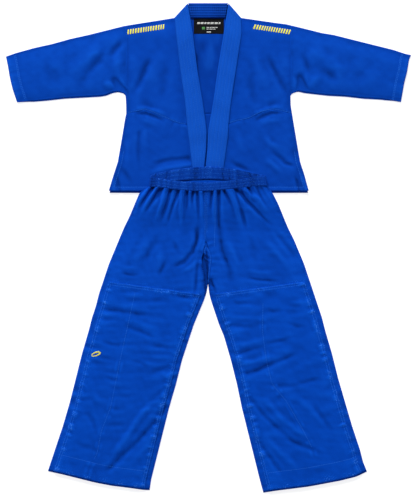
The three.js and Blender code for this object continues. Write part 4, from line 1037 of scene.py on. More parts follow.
def jacket_front(g, seams, seed, hems=(), puck=0.7):
    X, Y = g[..., 0], g[..., 1]
    base = jacket_under(X, Y) + CLOTH / 2
    z = base + folds(JACKET_FOLDS, X, Y) * 1.0
    z += 0.28 * noise2(X, Y, 62, seed) + 0.12 * noise2(X, Y, 24, seed + 1)
    for line, width, lift in hems:
        d = distance([line], X, Y)
        z += lift * (1 - smooth((d - width + 1.2) / 2.4))
    z += seam_shape(X, Y, seams[:1], groove=1.3, width=2.6, pucker=puck, reach=15, seed=seed)
    z += seam_shape(X, Y, seams[1:], groove=0.3, width=2.4, pucker=puck * 0.3, reach=15, seed=seed + 3)
    lo = np.full_like(z, CLOTH + 0.95)
    hi = base + 7.0
    cap = 10.2
    hi = np.where(under_band(X, Y), np.minimum(hi, cap), hi)
    sl = 0.0012 + 0.010 * np.exp(-distance(seams, X, Y) / 14)
    return X, Y, base, z, lo, hi, sl


def make_front(name, g, seams, seed, node, hems=(), mat=M_CHEST, body="jacket", pin="tblr", puck=0.7):
    X, Y, base, z, lo, hi, sl = jacket_front(g, seams, seed, hems, puck=puck)
    P = drape(g, z, None, None, seed, slack=sl, pin=pin, low=lo, high=hi)
    ob = thick(name, P, mat, worn=[seams[0][::2]] + [h[0] for h in hems], worn_reach=5, worn_amount=0.45)
    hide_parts(node)
    return ob, P


chest_r = coons(sh_r_in, yoke_r, body_l, lap_r_up, STEP)
chest_l = outer_first(coons(sh_l_in, yoke_l, body_r, lap_l_up, STEP))
chest_r = pull(chest_r, b=0.25, l=0.2, r=0.4)
chest_l = pull(chest_l, b=0.25, l=0.4, r=0.2)
seams_r = [yoke_r, arm_r]
seams_l = [yoke_l, arm_l]
rc, P_rc = make_front("right_chest_cloth", chest_r, seams_r + [lap_r_up], 101, "right_front_panel")
lc, P_lc = make_front("left_chest_cloth", chest_l, seams_l + [lap_l_up], 102, "left_front_panel")
skirt_r = coons(yoke_r, hemline_r, SKIRT_SIDE_R, lap_r_lo, STEP)
skirt_l = outer_first(coons(yoke_l, hemline_l, SKIRT_SIDE_L, lap_l_lo, STEP))
skirt_r = pull(skirt_r, t=0.25, r=0.4)
skirt_l = pull(skirt_l, t=0.25, l=0.4)
side_hem_r, side_hem_l = arr(SKIRT_SIDE_R[4:]), arr(SKIRT_SIDE_L[4:])
hems_r = [(hemline_r, 10.0, 0.9), (side_hem_r, 11.0, 0.8)]
hems_l = [(hemline_l, 10.0, 0.9), (side_hem_l, 11.0, 0.8)]
rs, P_rs = make_front("right_skirt_cloth", skirt_r, [yoke_r, lap_r_lo], 103, "right_front_skirt", hems_r, pin="tlr")
ls, P_ls = make_front("left_skirt_cloth", skirt_l, [yoke_l, lap_l_lo], 104, "left_front_skirt", hems_l, pin="tlr")
for ob in (rc, lc, rs, ls):
    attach(ob, "jacket")

# -------------------------------------------------------------------- sleeves
top_r = np.vstack([[sh_r_in[0]], [SHOULDER_R[1]], [SHOULDER_R[0]], SLEEVE_TOP_R[1:]])
top_l = np.vstack([[sh_l_in[0]], [SHOULDER_L[0]], SLEEVE_TOP_L[1:]])
low_r = np.vstack([[PIT_R], [SIDE_R[2]], [SIDE_R[1]], SLEEVE_LOW_R[1:]])
low_l = np.vstack([[PIT_L], [SIDE_L[2]], [SIDE_L[1]], SLEEVE_LOW_L[1:]])
cuff_r, cuff_l = rounded(CUFF_R, 8, 3), rounded(CUFF_L, 8, 3)
gr = coons(top_r, low_r, arm_r, cuff_r, STEP)[:, ::-1]
gl = coons(top_l, low_l, arm_l, cuff_l, STEP)
gr_f, gl_f = pull(gr, r=0.2), pull(gl, l=0.2)
cuffband_r = [(cuff_r, 27.0, 0.55)]
cuffband_l = [(cuff_l, 25.0, 0.55)]
rsf, P_rsf = make_front("right_sleeve_front_cloth", gr_f, [cuff_r, arm_r], 105, "right_sleeve_front", cuffband_r, M_SLEEVE, pin="tbr")
lsf, P_lsf = make_front("left_sleeve_front_cloth", gl_f, [cuff_l, arm_l], 106, "left_sleeve_front", cuffband_l, M_SLEEVE, pin="tbl")


def back_ply(name, g, mat, zs=0.85, grow=4.2, side="low"):
    g = g.copy()
    n = g[-1] - g[-3]
    n /= np.sqrt((n ** 2).sum(-1))[:, None]
    ramp = np.minimum(1, np.minimum(np.arange(g.shape[1]), np.arange(g.shape[1])[::-1]) / 8.0)[:, None]
    for k, f in ((1, 1.0), (2, 0.66), (3, 0.33)):
        g[-k] = g[-k] + n * grow * f * ramp
    return np.dstack([g, np.full(g.shape[:2], zs) + 0.06 * noise2(g[..., 0], g[..., 1], 40, 9)])


gr_b = pull(coons(top_r, low_r, arm_r, cuff_r, 6.0)[:, ::-1], r=0.6)
gl_b = pull(coons(top_l, low_l, arm_l, cuff_l, 6.0), l=0.6)
P_rsb, P_lsb = back_ply("r", gr_b, M_SLEEVE), back_ply("l", gl_b, M_SLEEVE)
rsb, lsb = thick("right_sleeve_back_cloth", P_rsb, M_SLEEVE), thick("left_sleeve_back_cloth", P_lsb, M_SLEEVE)
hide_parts("right_sleeve_back"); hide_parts("left_sleeve_back")
for ob in (rsf, rsb):
    bends(ob)
for ob in (lsf, lsb):
    bends(ob)

# --------------------------------------------------------------------- lapels
LAPEL_KEYS = [(150, 5.4), (222, 5.4), (270, 5.7), (340, 6.0), (492, 6.0), (589, 5.4), (633, 3.6), (680, 2.0)]


def lapel_base(y):
    return np.interp(y, [k[0] for k in LAPEL_KEYS], [k[1] for k in LAPEL_KEYS])


def cover_rings(opened, folded, z0, thick_mm, wall, across=30, shape=None, pinch=0.55):
    """Sections of a strip folded along one edge: outer skin out and back, inner skin between."""
    rings = []
    for o, f, z in zip(opened, folded, z0):
        W = np.hypot(*(f - o))
        d = (f - o) / W
        T = thick_mm

        def skin(T0, shrink, w0):
            """Lower line from the open edge to the fold, round it, and back along the top."""
            r = T0 / 2
            w = np.linspace(w0, W - r - shrink, across)
            # the plies come together towards the sewn edge
            half = r * (pinch + (1 - pinch) * np.sqrt(np.clip((w - w0) / 9.0, 0, 1)))
            lower = [(x, T / 2 - h) for x, h in zip(w, half)]
            arc = [(W - r - shrink + r * math.sin(a), T / 2 - r * math.cos(a)) for a in np.linspace(0.25, math.pi - 0.25, 7)]
            upper = [(x, T / 2 + h) for x, h in zip(w[::-1], half[::-1])]
            return lower, arc, upper
        lo, arc, up = skin(T, 0.0, 0.15)
        li, ai, ui = skin(T - 2 * wall, wall, 0.15)
        sec = lo + arc + up + ui[::-1] + ai[::-1] + li[::-1]
        rings.append([(o[0] + d[0] * w, o[1] + d[1] * w, z + h) for w, h in sec])
    return np.array(rings)


def lapel_piece(name, node, outer, inner, seed, mat, base=None, step=2.6, ribs=5, z_shift=0.0, deep=0.55, rib_width=0.026):
    n = int(length(outer) / step)
    ts = np.linspace(0, 1, n + 1)
    O, I = sample(outer, ts), sample(inner, ts)
    ymid = (O[:, 1] + I[:, 1]) / 2
    z = (lapel_base(ymid) if base is None else np.full(len(ts), base)) + z_shift
    rings = cover_rings(O, I, z, LAPEL_THICK, 1.25)
    K = rings.shape[1]
    across = 30
    w_frac = np.linspace(0, 1, across)
    s = ts * length(outer)
    # upper skin: crown, quilting rows and a little life along the strip
    crown = 0.9 * np.sin(np.pi * w_frac) ** 0.7
    rows = np.zeros(across)
    for k in range(ribs):
        c = (k + 0.6) / (ribs + 0.15)
        rows -= deep * np.exp(-((w_frac - c) / rib_width) ** 2)
    wave = 0.35 * noise1(s, 46, seed) + 0.16 * noise1(s, 11, seed + 1)
    up = slice(across + 7, 2 * across + 7)
    add = (crown + rows)[::-1][None, :] + wave[:, None] * np.sin(np.pi * w_frac)[::-1][None, :]
    rings[:, up, 2] += add
    ui = slice(2 * across + 7, 3 * across + 7)
    rings[:, ui, 2] += (crown * 0.8)[None, :]
    # painted shade along both edges of the strip and in the quilting rows, with a dotted pattern and random tone along
    # it
    cr = np.zeros(rings.shape[:2])
    edge = -0.75 * np.exp(-(w_frac / 0.05) ** 2) - 0.35 * np.exp(-((1 - w_frac) / 0.05) ** 2)
    dots = 0.35 * np.sign(np.sin(2 * np.pi * s / 5.4))[:, None] * np.exp(-((w_frac - 0.62) / 0.2) ** 2)[None, ::-1]
    cr[:, up] = (edge + rows * 0.8)[::-1][None, :] + dots + 0.25 * noise1(s, 21, seed + 3)[:, None]
    ob = tube_of_sections(name, rings, mat, crease=cr)
    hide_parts(node)
    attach(ob, "jacket")
    top = rings[:, up][:, ::-1]
    return ob, top, (O, I, z, s)


out_r = np.vstack([lap_r_up, lap_r_lo[1:]])
out_l = np.vstack([lap_l_up, lap_l_lo[1:]])
in_r, in_l = rounded(LAPEL_INNER_R, 12, 4), rounded(LAPEL_INNER_L, 12, 4)
rl, TOP_RL, info_r = lapel_piece("right_lapel_cover", "right_lapel", out_r, in_r, 201, M_LAPEL)
ll, TOP_LL, info_l = lapel_piece("left_lapel_cover", "left_lapel", out_l, in_l, 202, M_LAPEL)


def foam(name, node, O, I, z, T, wall, body, mat, slot, seed, ridge=3.2):
    """Strip inside a folded cover, with a cellular, slightly uneven skin."""
    n = len(z)
    O, I, z = O[2:-2], I[2:-2], np.asarray(z)[2:-2]
    rings = []
    for j, (o, f, zz) in enumerate(zip(O, I, z)):
        W = np.hypot(*(f - o))
        d = (f - o) / W
        w = np.linspace(2.2, W - wall - 1.6, 14)
        h0 = T / 2 - (T / 2 - wall - 0.35) * np.clip(0.45 + (w - 2) / 14, 0, 1)
        dip = 0.10 * np.sin(2 * np.pi * (w / ridge)) * np.sin(2 * np.pi * j / 5.0)
        lower = [(x, h + max(0, q)) for x, h, q in zip(w, h0, dip)]
        upper = [(x, T - h - max(0, q)) for x, h, q in zip(w[::-1], h0[::-1], dip[::-1])]
        end = [(w[-1] + 0.5, T / 2)]
        start = [(w[0] - 0.4, T / 2)]
        rings.append([(o[0] + d[0] * a, o[1] + d[1] * a, zz + b) for a, b in lower + end + upper + start])
    ob = tube_of_sections(name, np.array(rings), mat)
    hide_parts(node)
    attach(ob, body)
    return ob


foam("right_lapel_foam", "right_lapel_core", *info_r[:3], LAPEL_THICK, 1.25, "jacket", M_FOAM, "foam_core", 1)
foam("left_lapel_foam", "left_lapel_core", *info_l[:3], LAPEL_THICK, 1.25, "jacket", M_FOAM, "foam_core", 2)

col_open = arr([[-48.6, 633.6], [46.8, 633.6]])
col_fold = arr([[-55.6, 673.6], [53.4, 673.6]])
bc, TOP_BC, info_c = lapel_piece("back_collar_cover", "back_collar", col_open, col_fold, 203, M_COLLAR, base=CLOTH + PLY_GAP + 0.35, deep=0.9, rib_width=0.05)
foam("back_collar_foam", "back_collar_core", *info_c[:3], LAPEL_THICK, 1.25, "jacket", M_FOAM, "foam_core", 3)

# ------------------------------------------------------------------ neck label
SURF_BACK = Surface(P_back)
g = coons([[-40.6, 631.6], [42.2, 631.6]], [[-40.6, 589.4], [42.2, 589.4]], [[-40.6, 631.6], [-40.6, 589.4]], [[42.2, 631.6], [42.2, 589.4]], 1.6)
zz = np.array([[SURF_BACK.at(x, y)[0] for x, y in row] for row in g[::3, ::3]])
ys, xs = np.arange(g.shape[0]), np.arange(g.shape[1])
zi = np.array([np.interp(xs, xs[::3], r) for r in zz])
zi = np.array([np.interp(ys, ys[::3], c) for c in zi.T]).T
P_lab = np.dstack([g, zi + 0.75 + 0.45 + 0.12 * noise2(g[..., 0], g[..., 1], 26, 41)])
lab = thick("neck_label_cloth", P_lab, M_LABEL, t=0.6)
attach(lab, "jacket"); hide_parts("neck_label")
SURF_LAB = Surface(P_lab)


def satin(name, blocks, surf, mat, lift=0.35, h=0.75, pitch=0.9, lens=False):
    """Satin stitch: each block is a strip of slanted raised threads on a domed pad."""
    V, F, UV = [], [], []
    for (a, b, half, lean) in blocks:
        a, b = arr(a), arr(b)
        L = np.hypot(*(b - a))
        d = (b - a) / L
        s = np.array([-d[1], d[0]])
        n = max(3, int(L / pitch)) * 2
        m = 9
        o = len(V)
        full = half
        for j in range(n + 1):
            if lens:
                half = full * max(0.12, math.sin(math.pi * min(1.0, max(0.0, j / n)))) ** 0.8
            for i in range(m):
                q = -1 + 2 * i / (m - 1)
                p = a + d * (L * j / n + lean * q * half * 0.5) + s * q * half
                z, nr = surf.at(*p)
                dome = math.sqrt(max(0.0, 1 - 0.86 * q * q))
                endc = min(1.0, 0.45 + min(j, n - j) / 2.5)
                hz = lift + h * dome * endc * (0.82 + 0.18 * (j % 2))
                V.append((p[0], p[1], z + hz))
                UV.append((L * j / n * MM, q * half * MM))
        top = np.arange((n + 1) * m).reshape(n + 1, m) + o
        o2 = len(V)
        for j in range(n + 1):
            for i in range(m):
                x, y, zt = V[o + j * m + i]
                z, _ = surf.at(x, y)
                V.append((x, y, z + min(lift, 0.2)))
                UV.append(UV[o + j * m + i])
        bot = top - o + o2
        for j in range(n):
            for i in range(m - 1):
                F.append((top[j, i], top[j + 1, i], top[j + 1, i + 1], top[j, i + 1]))
                F.append((bot[j, i], bot[j, i + 1], bot[j + 1, i + 1], bot[j + 1, i]))
        for i in range(m - 1):
            F.append((top[0, i], top[0, i + 1], bot[0, i + 1], bot[0, i]))
            F.append((top[n, i], bot[n, i], bot[n, i + 1], top[n, i + 1]))
        for j in range(n):
            F.append((top[j, 0], bot[j, 0], bot[j + 1, 0], top[j + 1, 0]))
            F.append((top[j, m - 1], top[j + 1, m - 1], bot[j + 1, m - 1], bot[j, m - 1]))
    V = np.array(V)
    me_ob = mesh_object(name, V, F, mat, np.array(UV), np.zeros(len(V)))
    import bmesh
    bm = bmesh.new()
    bm.from_mesh(me_ob.data)
    bmesh.ops.recalc_face_normals(bm, faces=bm.faces)
    bm.to_mesh(me_ob.data)
    bm.free()
    return me_ob


def line_blocks(a, b, n, gap, half, lean=0.0, jitter=0.0, seed=0):
    rng = np.random.RandomState(seed)
    a, b = arr(a), arr(b)
    cuts = np.cumsum(rng.uniform(1 - jitter, 1 + jitter, n))
    cuts = np.r_[0, cuts] / cuts[-1]
    L = np.hypot(*(b - a))
    out = []
    for k in range(n):
        t0, t1 = cuts[k] + gap / L / 2, cuts[k + 1] - gap / L / 2
        out.append((a + (b - a) * t0, a + (b - a) * t1, half, lean))
    return out


lab_dec = satin("neck_label_bars", line_blocks([-32, 618.5], [34, 618.5], 7, 2.2, 2.6, 0.3, 0.3, 3)
                + line_blocks([-6, 606.5], [26, 606.5], 4, 1.6, 1.2, 0, 0.3, 4)
                + line_blocks([-6, 602.0], [20, 602.0], 3, 1.6, 1.0, 0, 0.3, 5)
                + line_blocks([-5, 594.0], [7, 594.0], 1, 0.4, 1.4, 0, 0, 6), SURF_LAB, M_WHITE, lift=0.3, h=0.3, pitch=1.0)
lab_dot = satin("neck_label_square", [([-18, 604.3], [-10, 604.3], 3.6, 0)], SURF_LAB, M_GREEN, lift=0.3, h=0.35, pitch=1.0)
for ob in (lab_dec, lab_dot):
    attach(ob, "jacket")

# ----------------------------------------------------- shoulder embroidery bars
SURF_RC, SURF_LC = Surface(P_rc), Surface(P_lc)
SURF_RS, SURF_LS = Surface(P_rs), Surface(P_ls)
emb_r = satin("right_shoulder_satin", line_blocks([-225.0, 593.4], [-121, 608.6], 15, 3.1, 6.6, 0.45, 0.10, 7), SURF_RC, M_YELLOW, lift=0.75, pitch=0.8)
emb_l = satin("left_shoulder_satin", line_blocks([123.8, 608.6], [227.0, 593.4], 15, 3.1, 6.6, 0.45, 0.10, 8), SURF_LC, M_YELLOW, lift=0.75, pitch=0.8)
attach(emb_r, "jacket"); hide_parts("right_shoulder_embroidery")
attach(emb_l, "jacket"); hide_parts("left_shoulder_embroidery")

# ------------------------------------------------------------------- trousers
WBL_R, WBL_L = WB_BACK_LOW[:5], WB_BACK_LOW[4:][::-1]
RISE_OPEN = [[-8.6, 153.6], [-7.9, 12.0], [-10.6, 0.0], [-14.6, -14.0], [-19.3, -32.0], [-15.8, -52.0], [-12.0, -72.0],
             [-9.0, -95.0], [-7.6, -112.0], [-6.6, -127.6]]
out_leg_r = rounded(np.vstack([THIGH_OUT_R, LEG_OUT_R[1:]]), 9, 4)
out_leg_l = rounded(np.vstack([THIGH_OUT_L, LEG_OUT_L[1:]]), 9, 4)
in_leg_r = np.vstack([rounded(RISE_OPEN, 3, 2), rounded(LEG_IN_R, 9, 4)[1:]])
in_leg_l = np.vstack([rounded(FRONT_RISE_L, 3, 2), rounded(LEG_IN_L, 9, 4)[1:]])
hemr, heml = rounded(HEM_R, 9, 4), rounded(HEM_L, 9, 4)
front_r = coons(WB_FRONT_LOW_R, hemr, out_leg_r, in_leg_r, STEP)
front_l = outer_first(coons(WB_FRONT_LOW_L, heml, out_leg_l, in_leg_l, STEP))
front_r = pull(front_r, t=0.4, r=0.35)
front_l = pull(front_l, t=0.4, l=0.35)
back_in_r = np.vstack([BACK_RISE_R, LEG_IN_R[1:]])
back_in_l = np.vstack([BACK_RISE_L, LEG_IN_L[1:]])
tback_r = coons(WBL_R, hemr, out_leg_r, back_in_r, 6.0)
tback_l = outer_first(coons(WBL_L, heml, out_leg_l, back_in_l, 6.0))
tback_r = pull(tback_r, t=0.5, r=0.25)
tback_l = pull(tback_l, t=0.5, l=0.25)
KNEE_R = arr([THIGH_OUT_R[-1], FRONT_RISE_R[-1]])
KNEE_L = arr([THIGH_OUT_L[-1], FRONT_RISE_L[-1]])


def below(c, d):
    """Line parallel to a knee or hem line, moved down the leg by d."""
    c = arr(c)
    t = c[-1] - c[0]
    t /= np.hypot(*t)
    n = np.array([t[1], -t[0]])
    if n[1] > 0:
        n = -n
    return c + n * d


# painted shade in the deep folds where the legs part, with one painted highlight ridge
CLEFT_SHADE = [(-3.2, 12, 0.4, 1, 0, [(-18, -26), (-13, -40), (-13.8, -55), (-9.5, -80), (-6.5, -95), (-5, -128)]),
         (-0.6, 10, 0.3, 1, 1, [(-30, 60), (-34, 0), (-46, -40), (-70, -58), (-100, -62)]),
         (-0.8, 7, 0.4, 1, 0, [(-8, -30), (4, -60), (9, -90), (20, -122)]),
         (-0.3, 12, 0.2, 1, 1, [(27, 110), (31, 40), (38, -10), (58, -60)]),
         (0.5, 7, 0.3, 1, 1, [(-4, -20), (0, -60), (4, -96)])]


def trouser_front(name, g, outer, inner, hem, knee, seed, nodes, pin):
    X, Y = g[..., 0], g[..., 1]
    base = leg_under(X, Y) + CLOTH / 2
    z = base + folds(TROUSER_FOLDS, X, Y)
    z += 0.34 * noise2(X, Y, 58, seed) + 0.14 * noise2(X, Y, 22, seed + 1)
    z += 0.85 * noise2(X * 0.30, Y, 27, seed + 8) * np.clip(0.45 + 0.6 * noise2(X, Y, 110, seed + 9), 0, 1) * smooth((-95 - Y) / 40) * (0.3 + 0.7 * smooth((Y + 560) / 160))
    shade = smooth((170 - Y) / 16) * smooth((Y - 60) / 60)
    fan = np.arctan2(X - 0, 420 - Y) * 420
    z += 1.75 * noise1(fan, 8.5, seed + 3) * smooth((Y - 96) / 62) * smooth((168 - Y) / 4 + 0.3)
    top_seam = arr(WB_FRONT_LOW_R if seed == 301 else WB_FRONT_LOW_L)
    z += seam_shape(X, Y, [outer, inner], groove=0.5, width=2.2, pucker=0.75, reach=13, wave=9.5, seed=seed)
    z += 2.4 * np.exp(-(distance([top_seam], X, Y) / 9.0) ** 2)
    z += seam_shape(X, Y, [[(-8, 12), (-14.6, -14), (-19.3, -32), (-12, -72), (-7, -120)], [(-6.8, 12), (3.6, -14), (8.1, -30), (2.5, -77), (0, -102)]],
                    groove=0.8, width=2.4, pucker=1.1, reach=10, wave=8, seed=seed + 60)
    # below the knee line this ply lies under the patch
    low = seat_under(X, Y) + CLOTH + 0.95
    hi = base + 7.0
    sl = 0.0015 + 0.012 * np.exp(-distance([outer, inner, top_seam], X, Y) / 15)
    P = drape(g, z, None, None, seed, slack=sl, pin=pin, low=low, high=hi)
    # painted shade where the legs part, from the table above
    dark = folds(CLEFT_SHADE, P[..., 0], P[..., 1])
    # the gathers' heads lie in the band's shadow
    head = np.exp(-(distance([top_seam], P[..., 0], P[..., 1]) / 8.5) ** 2)
    dark = dark - head * (0.75 + 0.7 * noise1(fan, 4.4, seed + 5))
    ob = thick(name, P, M_TROUSER, crease=np.clip(crease_of(P) + dark, -1.4, 1), worn=[outer[::3], inner[::3], top_seam, KNEE_R, KNEE_L], worn_reach=7, worn_amount=0.6)
    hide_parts(*nodes)
    bends(ob)
    return ob, P


rt, P_rt = trouser_front("right_trouser_front_cloth", front_r, out_leg_r, in_leg_r, hemr, KNEE_R, 301,
                         ("right_thigh_panel", "right_leg_front"), "tlr")
lt, P_lt = trouser_front("left_trouser_front_cloth", front_l, out_leg_l, in_leg_l, heml, KNEE_L, 302,
                         ("left_thigh_panel", "left_leg_front"), "tlr")


def trouser_back(name, g, nodes, side):
    X, Y = g[..., 0], g[..., 1]
    z = seat_under(X, Y) + 0.85 + 0.06 * noise2(X, Y, 40, 12)
    P = np.dstack([g, z])
    # the hem and the sides of this ply stand out a little beyond the front
    n = P[-1, :, :2] - P[-3, :, :2]
    n /= np.sqrt((n ** 2).sum(-1))[:, None]
    for k, f in ((1, 1.0), (2, 0.66), (3, 0.33)):
        P[-k, :, :2] += n * 5.2 * f
    # painted shade on this ply where it shows between the legs, and along its hem where the front ply's shadow falls
    cleft = distance([[(-14, -30), (-9, -70), (-5, -125)]], X, Y)
    cr = -1.05 * (1 - smooth((cleft - 9) / 8)) - 0.7 * (1 - smooth((distance([P[-1, :, :2]], X, Y) - 5) / 4))
    ob = thick(name, P, M_TROUSER, crease=cr)
    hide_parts(*nodes)
    bends(ob)
    return ob, P


rtb, P_rtb = trouser_back("right_trouser_back_cloth", tback_r, ("right_seat_panel", "right_leg_back"), -1)
ltb, P_ltb = trouser_back("left_trouser_back_cloth", tback_l, ("left_seat_panel", "left_leg_back"), 1)

SURF_RT, SURF_LT = Surface(P_rt), Surface(P_lt)


def patch(name, node, outer, inner, hem, knee, surf, seed, body, flip):
    o = arr(LEG_OUT_R if body == "right_leg" else LEG_OUT_L)
    i = arr(LEG_IN_R if body == "right_leg" else LEG_IN_L)
    k = arr([o[0], i[0]])
    gg = coons(k, hem, rounded(o, 9, 4), rounded(i, 9, 4), STEP)
    if flip:
        gg = outer_first(gg)
    M, N = gg.shape[:2]
    # inset by resampling along rows and columns
    us = np.sqrt(((gg[:, 1:] - gg[:, :-1]) ** 2).sum(-1))
    out = np.empty_like(gg)
    for j in range(M):
        d = np.r_[0, np.cumsum(us[j])]
        e = np.linspace(14, d[-1] - 14, N)
        out[j, :, 0] = np.interp(e, d, gg[j, :, 0])
        out[j, :, 1] = np.interp(e, d, gg[j, :, 1])
    vs = np.sqrt(((out[1:] - out[:-1]) ** 2).sum(-1))
    fin = np.empty_like(out)
    for c in range(N):
        d = np.r_[0, np.cumsum(vs[:, c])]
        e = np.linspace(4, d[-1] - 0.6, M)
        fin[:, c, 0] = np.interp(e, d, out[:, c, 0])
        fin[:, c, 1] = np.interp(e, d, out[:, c, 1])
    X, Y = fin[..., 0], fin[..., 1]
    zl = np.array([[surf.at(x, y, 3)[0] for x, y in row] for row in fin])
    left, right, top, bottom = fin[:, 0], fin[:, -1], fin[0], fin[-1]
    base = zl + CLOTH / 2 + 0.35 + 1.35 / 2
    puck = np.zeros_like(X)
    for n, line in enumerate((left, right)):
        d, s, L = along(line, X, Y)
        w = noise1(s, 9.0, seed + n * 7) + 0.55 * noise1(s, 4.6, seed + n * 7 + 3)
        puck += 1.5 * np.maximum(0, 0.45 + 1.0 * w) * np.exp(-((d - 9) / 8.0) ** 2)
        puck += 0.5 * np.maximum(0, w) * np.exp(-d / 26) * (1 - np.exp(-d / 6))
    d, s, L = along(top, X, Y)
    w = noise1(s, 11.0, seed + 31)
    puck += 1.5 * np.maximum(0, 0.4 + 0.9 * w) * np.exp(-((d - 8) / 7.0) ** 2)
    cen = (CENTRE_R if body == "right_leg" else CENTRE_L)
    d, s, L = along(cen, X, Y)
    w = noise1(s, 10.0, seed + 41)
    puck += np.maximum(0, 0.5 + 0.8 * w) * np.exp(-((d - 6.5) / 5.0) ** 2)
    d = distance([bottom], X, Y)
    hemline = np.exp(-((d - 47) / 2.2) ** 2)
    puck += 0.5 * (1 - smooth((d - 44) / 5))
    z = base + puck + 0.2
    z -= 0.35 * hemline
    P = np.dstack([fin, z])
    if STEPS:
        pinned = np.zeros((M, N), bool)
        pinned[0] = pinned[:, 0] = pinned[:, -1] = True
        sl = 0.002 + 0.014 * np.exp(-distance([left, right, top], X, Y) / 12)
        P = settle(P, pinned, base + 0.02, z + 3.2, sl, 0.02, 160, seed, 0.01)
        P[..., 2] = np.maximum(blur(P[..., 2], 1), base)
    ob = thick(name, P, M_PATCH, t=1.3, worn=[left[::6], right[::6], top[::4], bottom[::6]], worn_reach=17, worn_amount=1.0)
    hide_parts(node)
    bends(ob)
    return ob, P


CENTRE_R = rounded([(-201.2, -118.6), (-245.1, -317.3), (-270.5, -444.2), (-295, -505), (-307.7, -571.2), (-327.1, -604.3), (-335.3, -629.2)], 20, 4)
CENTRE_L = rounded([(150.4, -148.8), (148.8, -232), (160, -315), (175.3, -378), (215, -425), (258, -500), (285, -551.5), (296, -600)], 20, 4)
rp, P_rp = patch("right_knee_patch_cloth", "right_knee_patch", out_leg_r, in_leg_r, hemr, KNEE_R, SURF_RT, 401, "right_leg", False)
lp, P_lp = patch("left_knee_patch_cloth", "left_knee_patch", out_leg_l, in_leg_l, heml, KNEE_L, SURF_LT, 402, "left_leg", True)
SURF_RP, SURF_LP = Surface(P_rp), Surface(P_lp)

# gusset
gy = np.linspace(11, -101, 46)
gl_x = np.interp(-gy, [-12, 0, 14, 24, 34, 45, 60, 76, 90, 102], [-7.3, -9.8, -13.7, -13.0, -8.8, -7.7, -5.6, -4.8, -3.6, -2.6])
gr_x = np.interp(-gy, [-12, 0, 14, 30, 45, 60, 77, 90, 102], [-6.8, -2.9, 3.6, 8.1, 6.5, 4.5, 2.5, 1.2, 0.0])
cols = np.linspace(0, 1, 14)
gg = np.stack([np.stack([gl_x * (1 - c) + gr_x * c, gy], 1) for c in cols], 1)
X, Y = gg[..., 0], gg[..., 1]
zg = leg_under(X, Y) + CLOTH / 2 - 0.3 + 0.5 * noise2(X, Y, 11, 51) - 0.5 * np.exp(-((cols - 0.5) / 0.12) ** 2)[None, :]
zg += 0.9 * np.exp(-(cols / 0.16) ** 2)[None, :] * smooth((-14 - gy) / 20)[:, None]
P_gu = np.dstack([gg, zg])
shade = -1.8 * (1 - smooth((cols - 0.42) / 0.25))[None, :] * smooth((-8 - gy) / 14)[:, None]
gu = thick("crotch_gusset_cloth", P_gu, M_TROUSER, t=1.3, crease=np.clip(crease_of(P_gu) + shade, -1.4, 1))
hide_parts("crotch_gusset"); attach(gu, "trousers")

# leg mark: a small generic open oval, thicker on one side
oval = []
for k in range(11):
    a0, a1 = math.radians(28 + 31.5 * k), math.radians(28 + 31.5 * k + 29)
    q = [(-310.5 + 12.5 * math.cos(a) * 0.94 - 4.6 * math.sin(a) * 0.34, -295.2 + 12.5 * math.cos(a) * 0.34 + 4.6 * math.sin(a) * 0.94) for a in (a0, a1)]
    oval.append((q[0], q[1], 1.7 + 0.7 * math.cos(a0), 0.0))
mk = satin("leg_mark_satin", oval, SURF_RP, M_YELLOW, lift=0.7, h=0.6, pitch=0.9)
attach(mk, "right_leg"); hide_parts("leg_embroidery")

# ------------------------------------------------------------------ waistband
back_open = np.vstack([WBL_R, WBL_L[::-1][1:]])
front_open = np.vstack([WB_FRONT_LOW_R, WB_FRONT_LOW_L[::-1][1:]])
b_top, f_top = arr(WB_BACK_TOP), arr(WB_FRONT_TOP)


def band_ring():
    """Stations round the waist: along the back, over the left end, along the front, round the right end."""
    st = []
    tb = BAND_THICK - 0.5
    nb, nf, ne = 190, 300, 12
    zb = REST_ON_JACKET + BAND_THICK / 2
    L = length(front_open)
    for t in np.linspace(0.012, 0.988, nb):
        st.append((sample(back_open, [t])[0], sample(b_top, [t])[0], zb, 0.0, t * L, 0))
    def zf(t):
        d = min(t, 1 - t) * L
        return REST_ON_JACKET + BAND_THICK + PLY_GAP + WAIST_LOFT * roll(d, 60) + BAND_THICK / 2
    for k in range(1, ne):
        a = math.pi * k / ne
        t = 0.988
        ob_, ot_ = sample(back_open, [t])[0], sample(b_top, [t])[0]
        of_, ft_ = sample(front_open, [t])[0], sample(f_top, [t])[0]
        f = k / ne
        o, tp = ob_ * (1 - f) + of_ * f, ot_ * (1 - f) + ft_ * f
        bulge = np.array([math.sin(a) * 4.6, 0])
        z = zb + (zf(t) - zb) * (1 - math.cos(a)) / 2
        st.append((o + bulge, tp + bulge, z, a, 0, 1))
    for t in np.linspace(0.988, 0.012, nf):
        st.append((sample(front_open, [t])[0], sample(f_top, [t])[0], zf(t), math.pi, t * L, 2))
    for k in range(1, ne):
        a = math.pi + math.pi * k / ne
        t = 0.012
        ob_, ot_ = sample(back_open, [t])[0], sample(b_top, [t])[0]
        of_, ft_ = sample(front_open, [t])[0], sample(f_top, [t])[0]
        f = k / ne
        o, tp = of_ * (1 - f) + ob_ * f, ft_ * (1 - f) + ot_ * f
        bulge = np.array([-math.sin(math.pi * k / ne) * 4.6, 0])
        z = zf(t) + (zb - zf(t)) * (1 - math.cos(math.pi * k / ne)) / 2
        st.append((o + bulge, tp + bulge, z, a, 0, 3))
    return st


stations = band_ring()


band_crease, band_wear = [], []


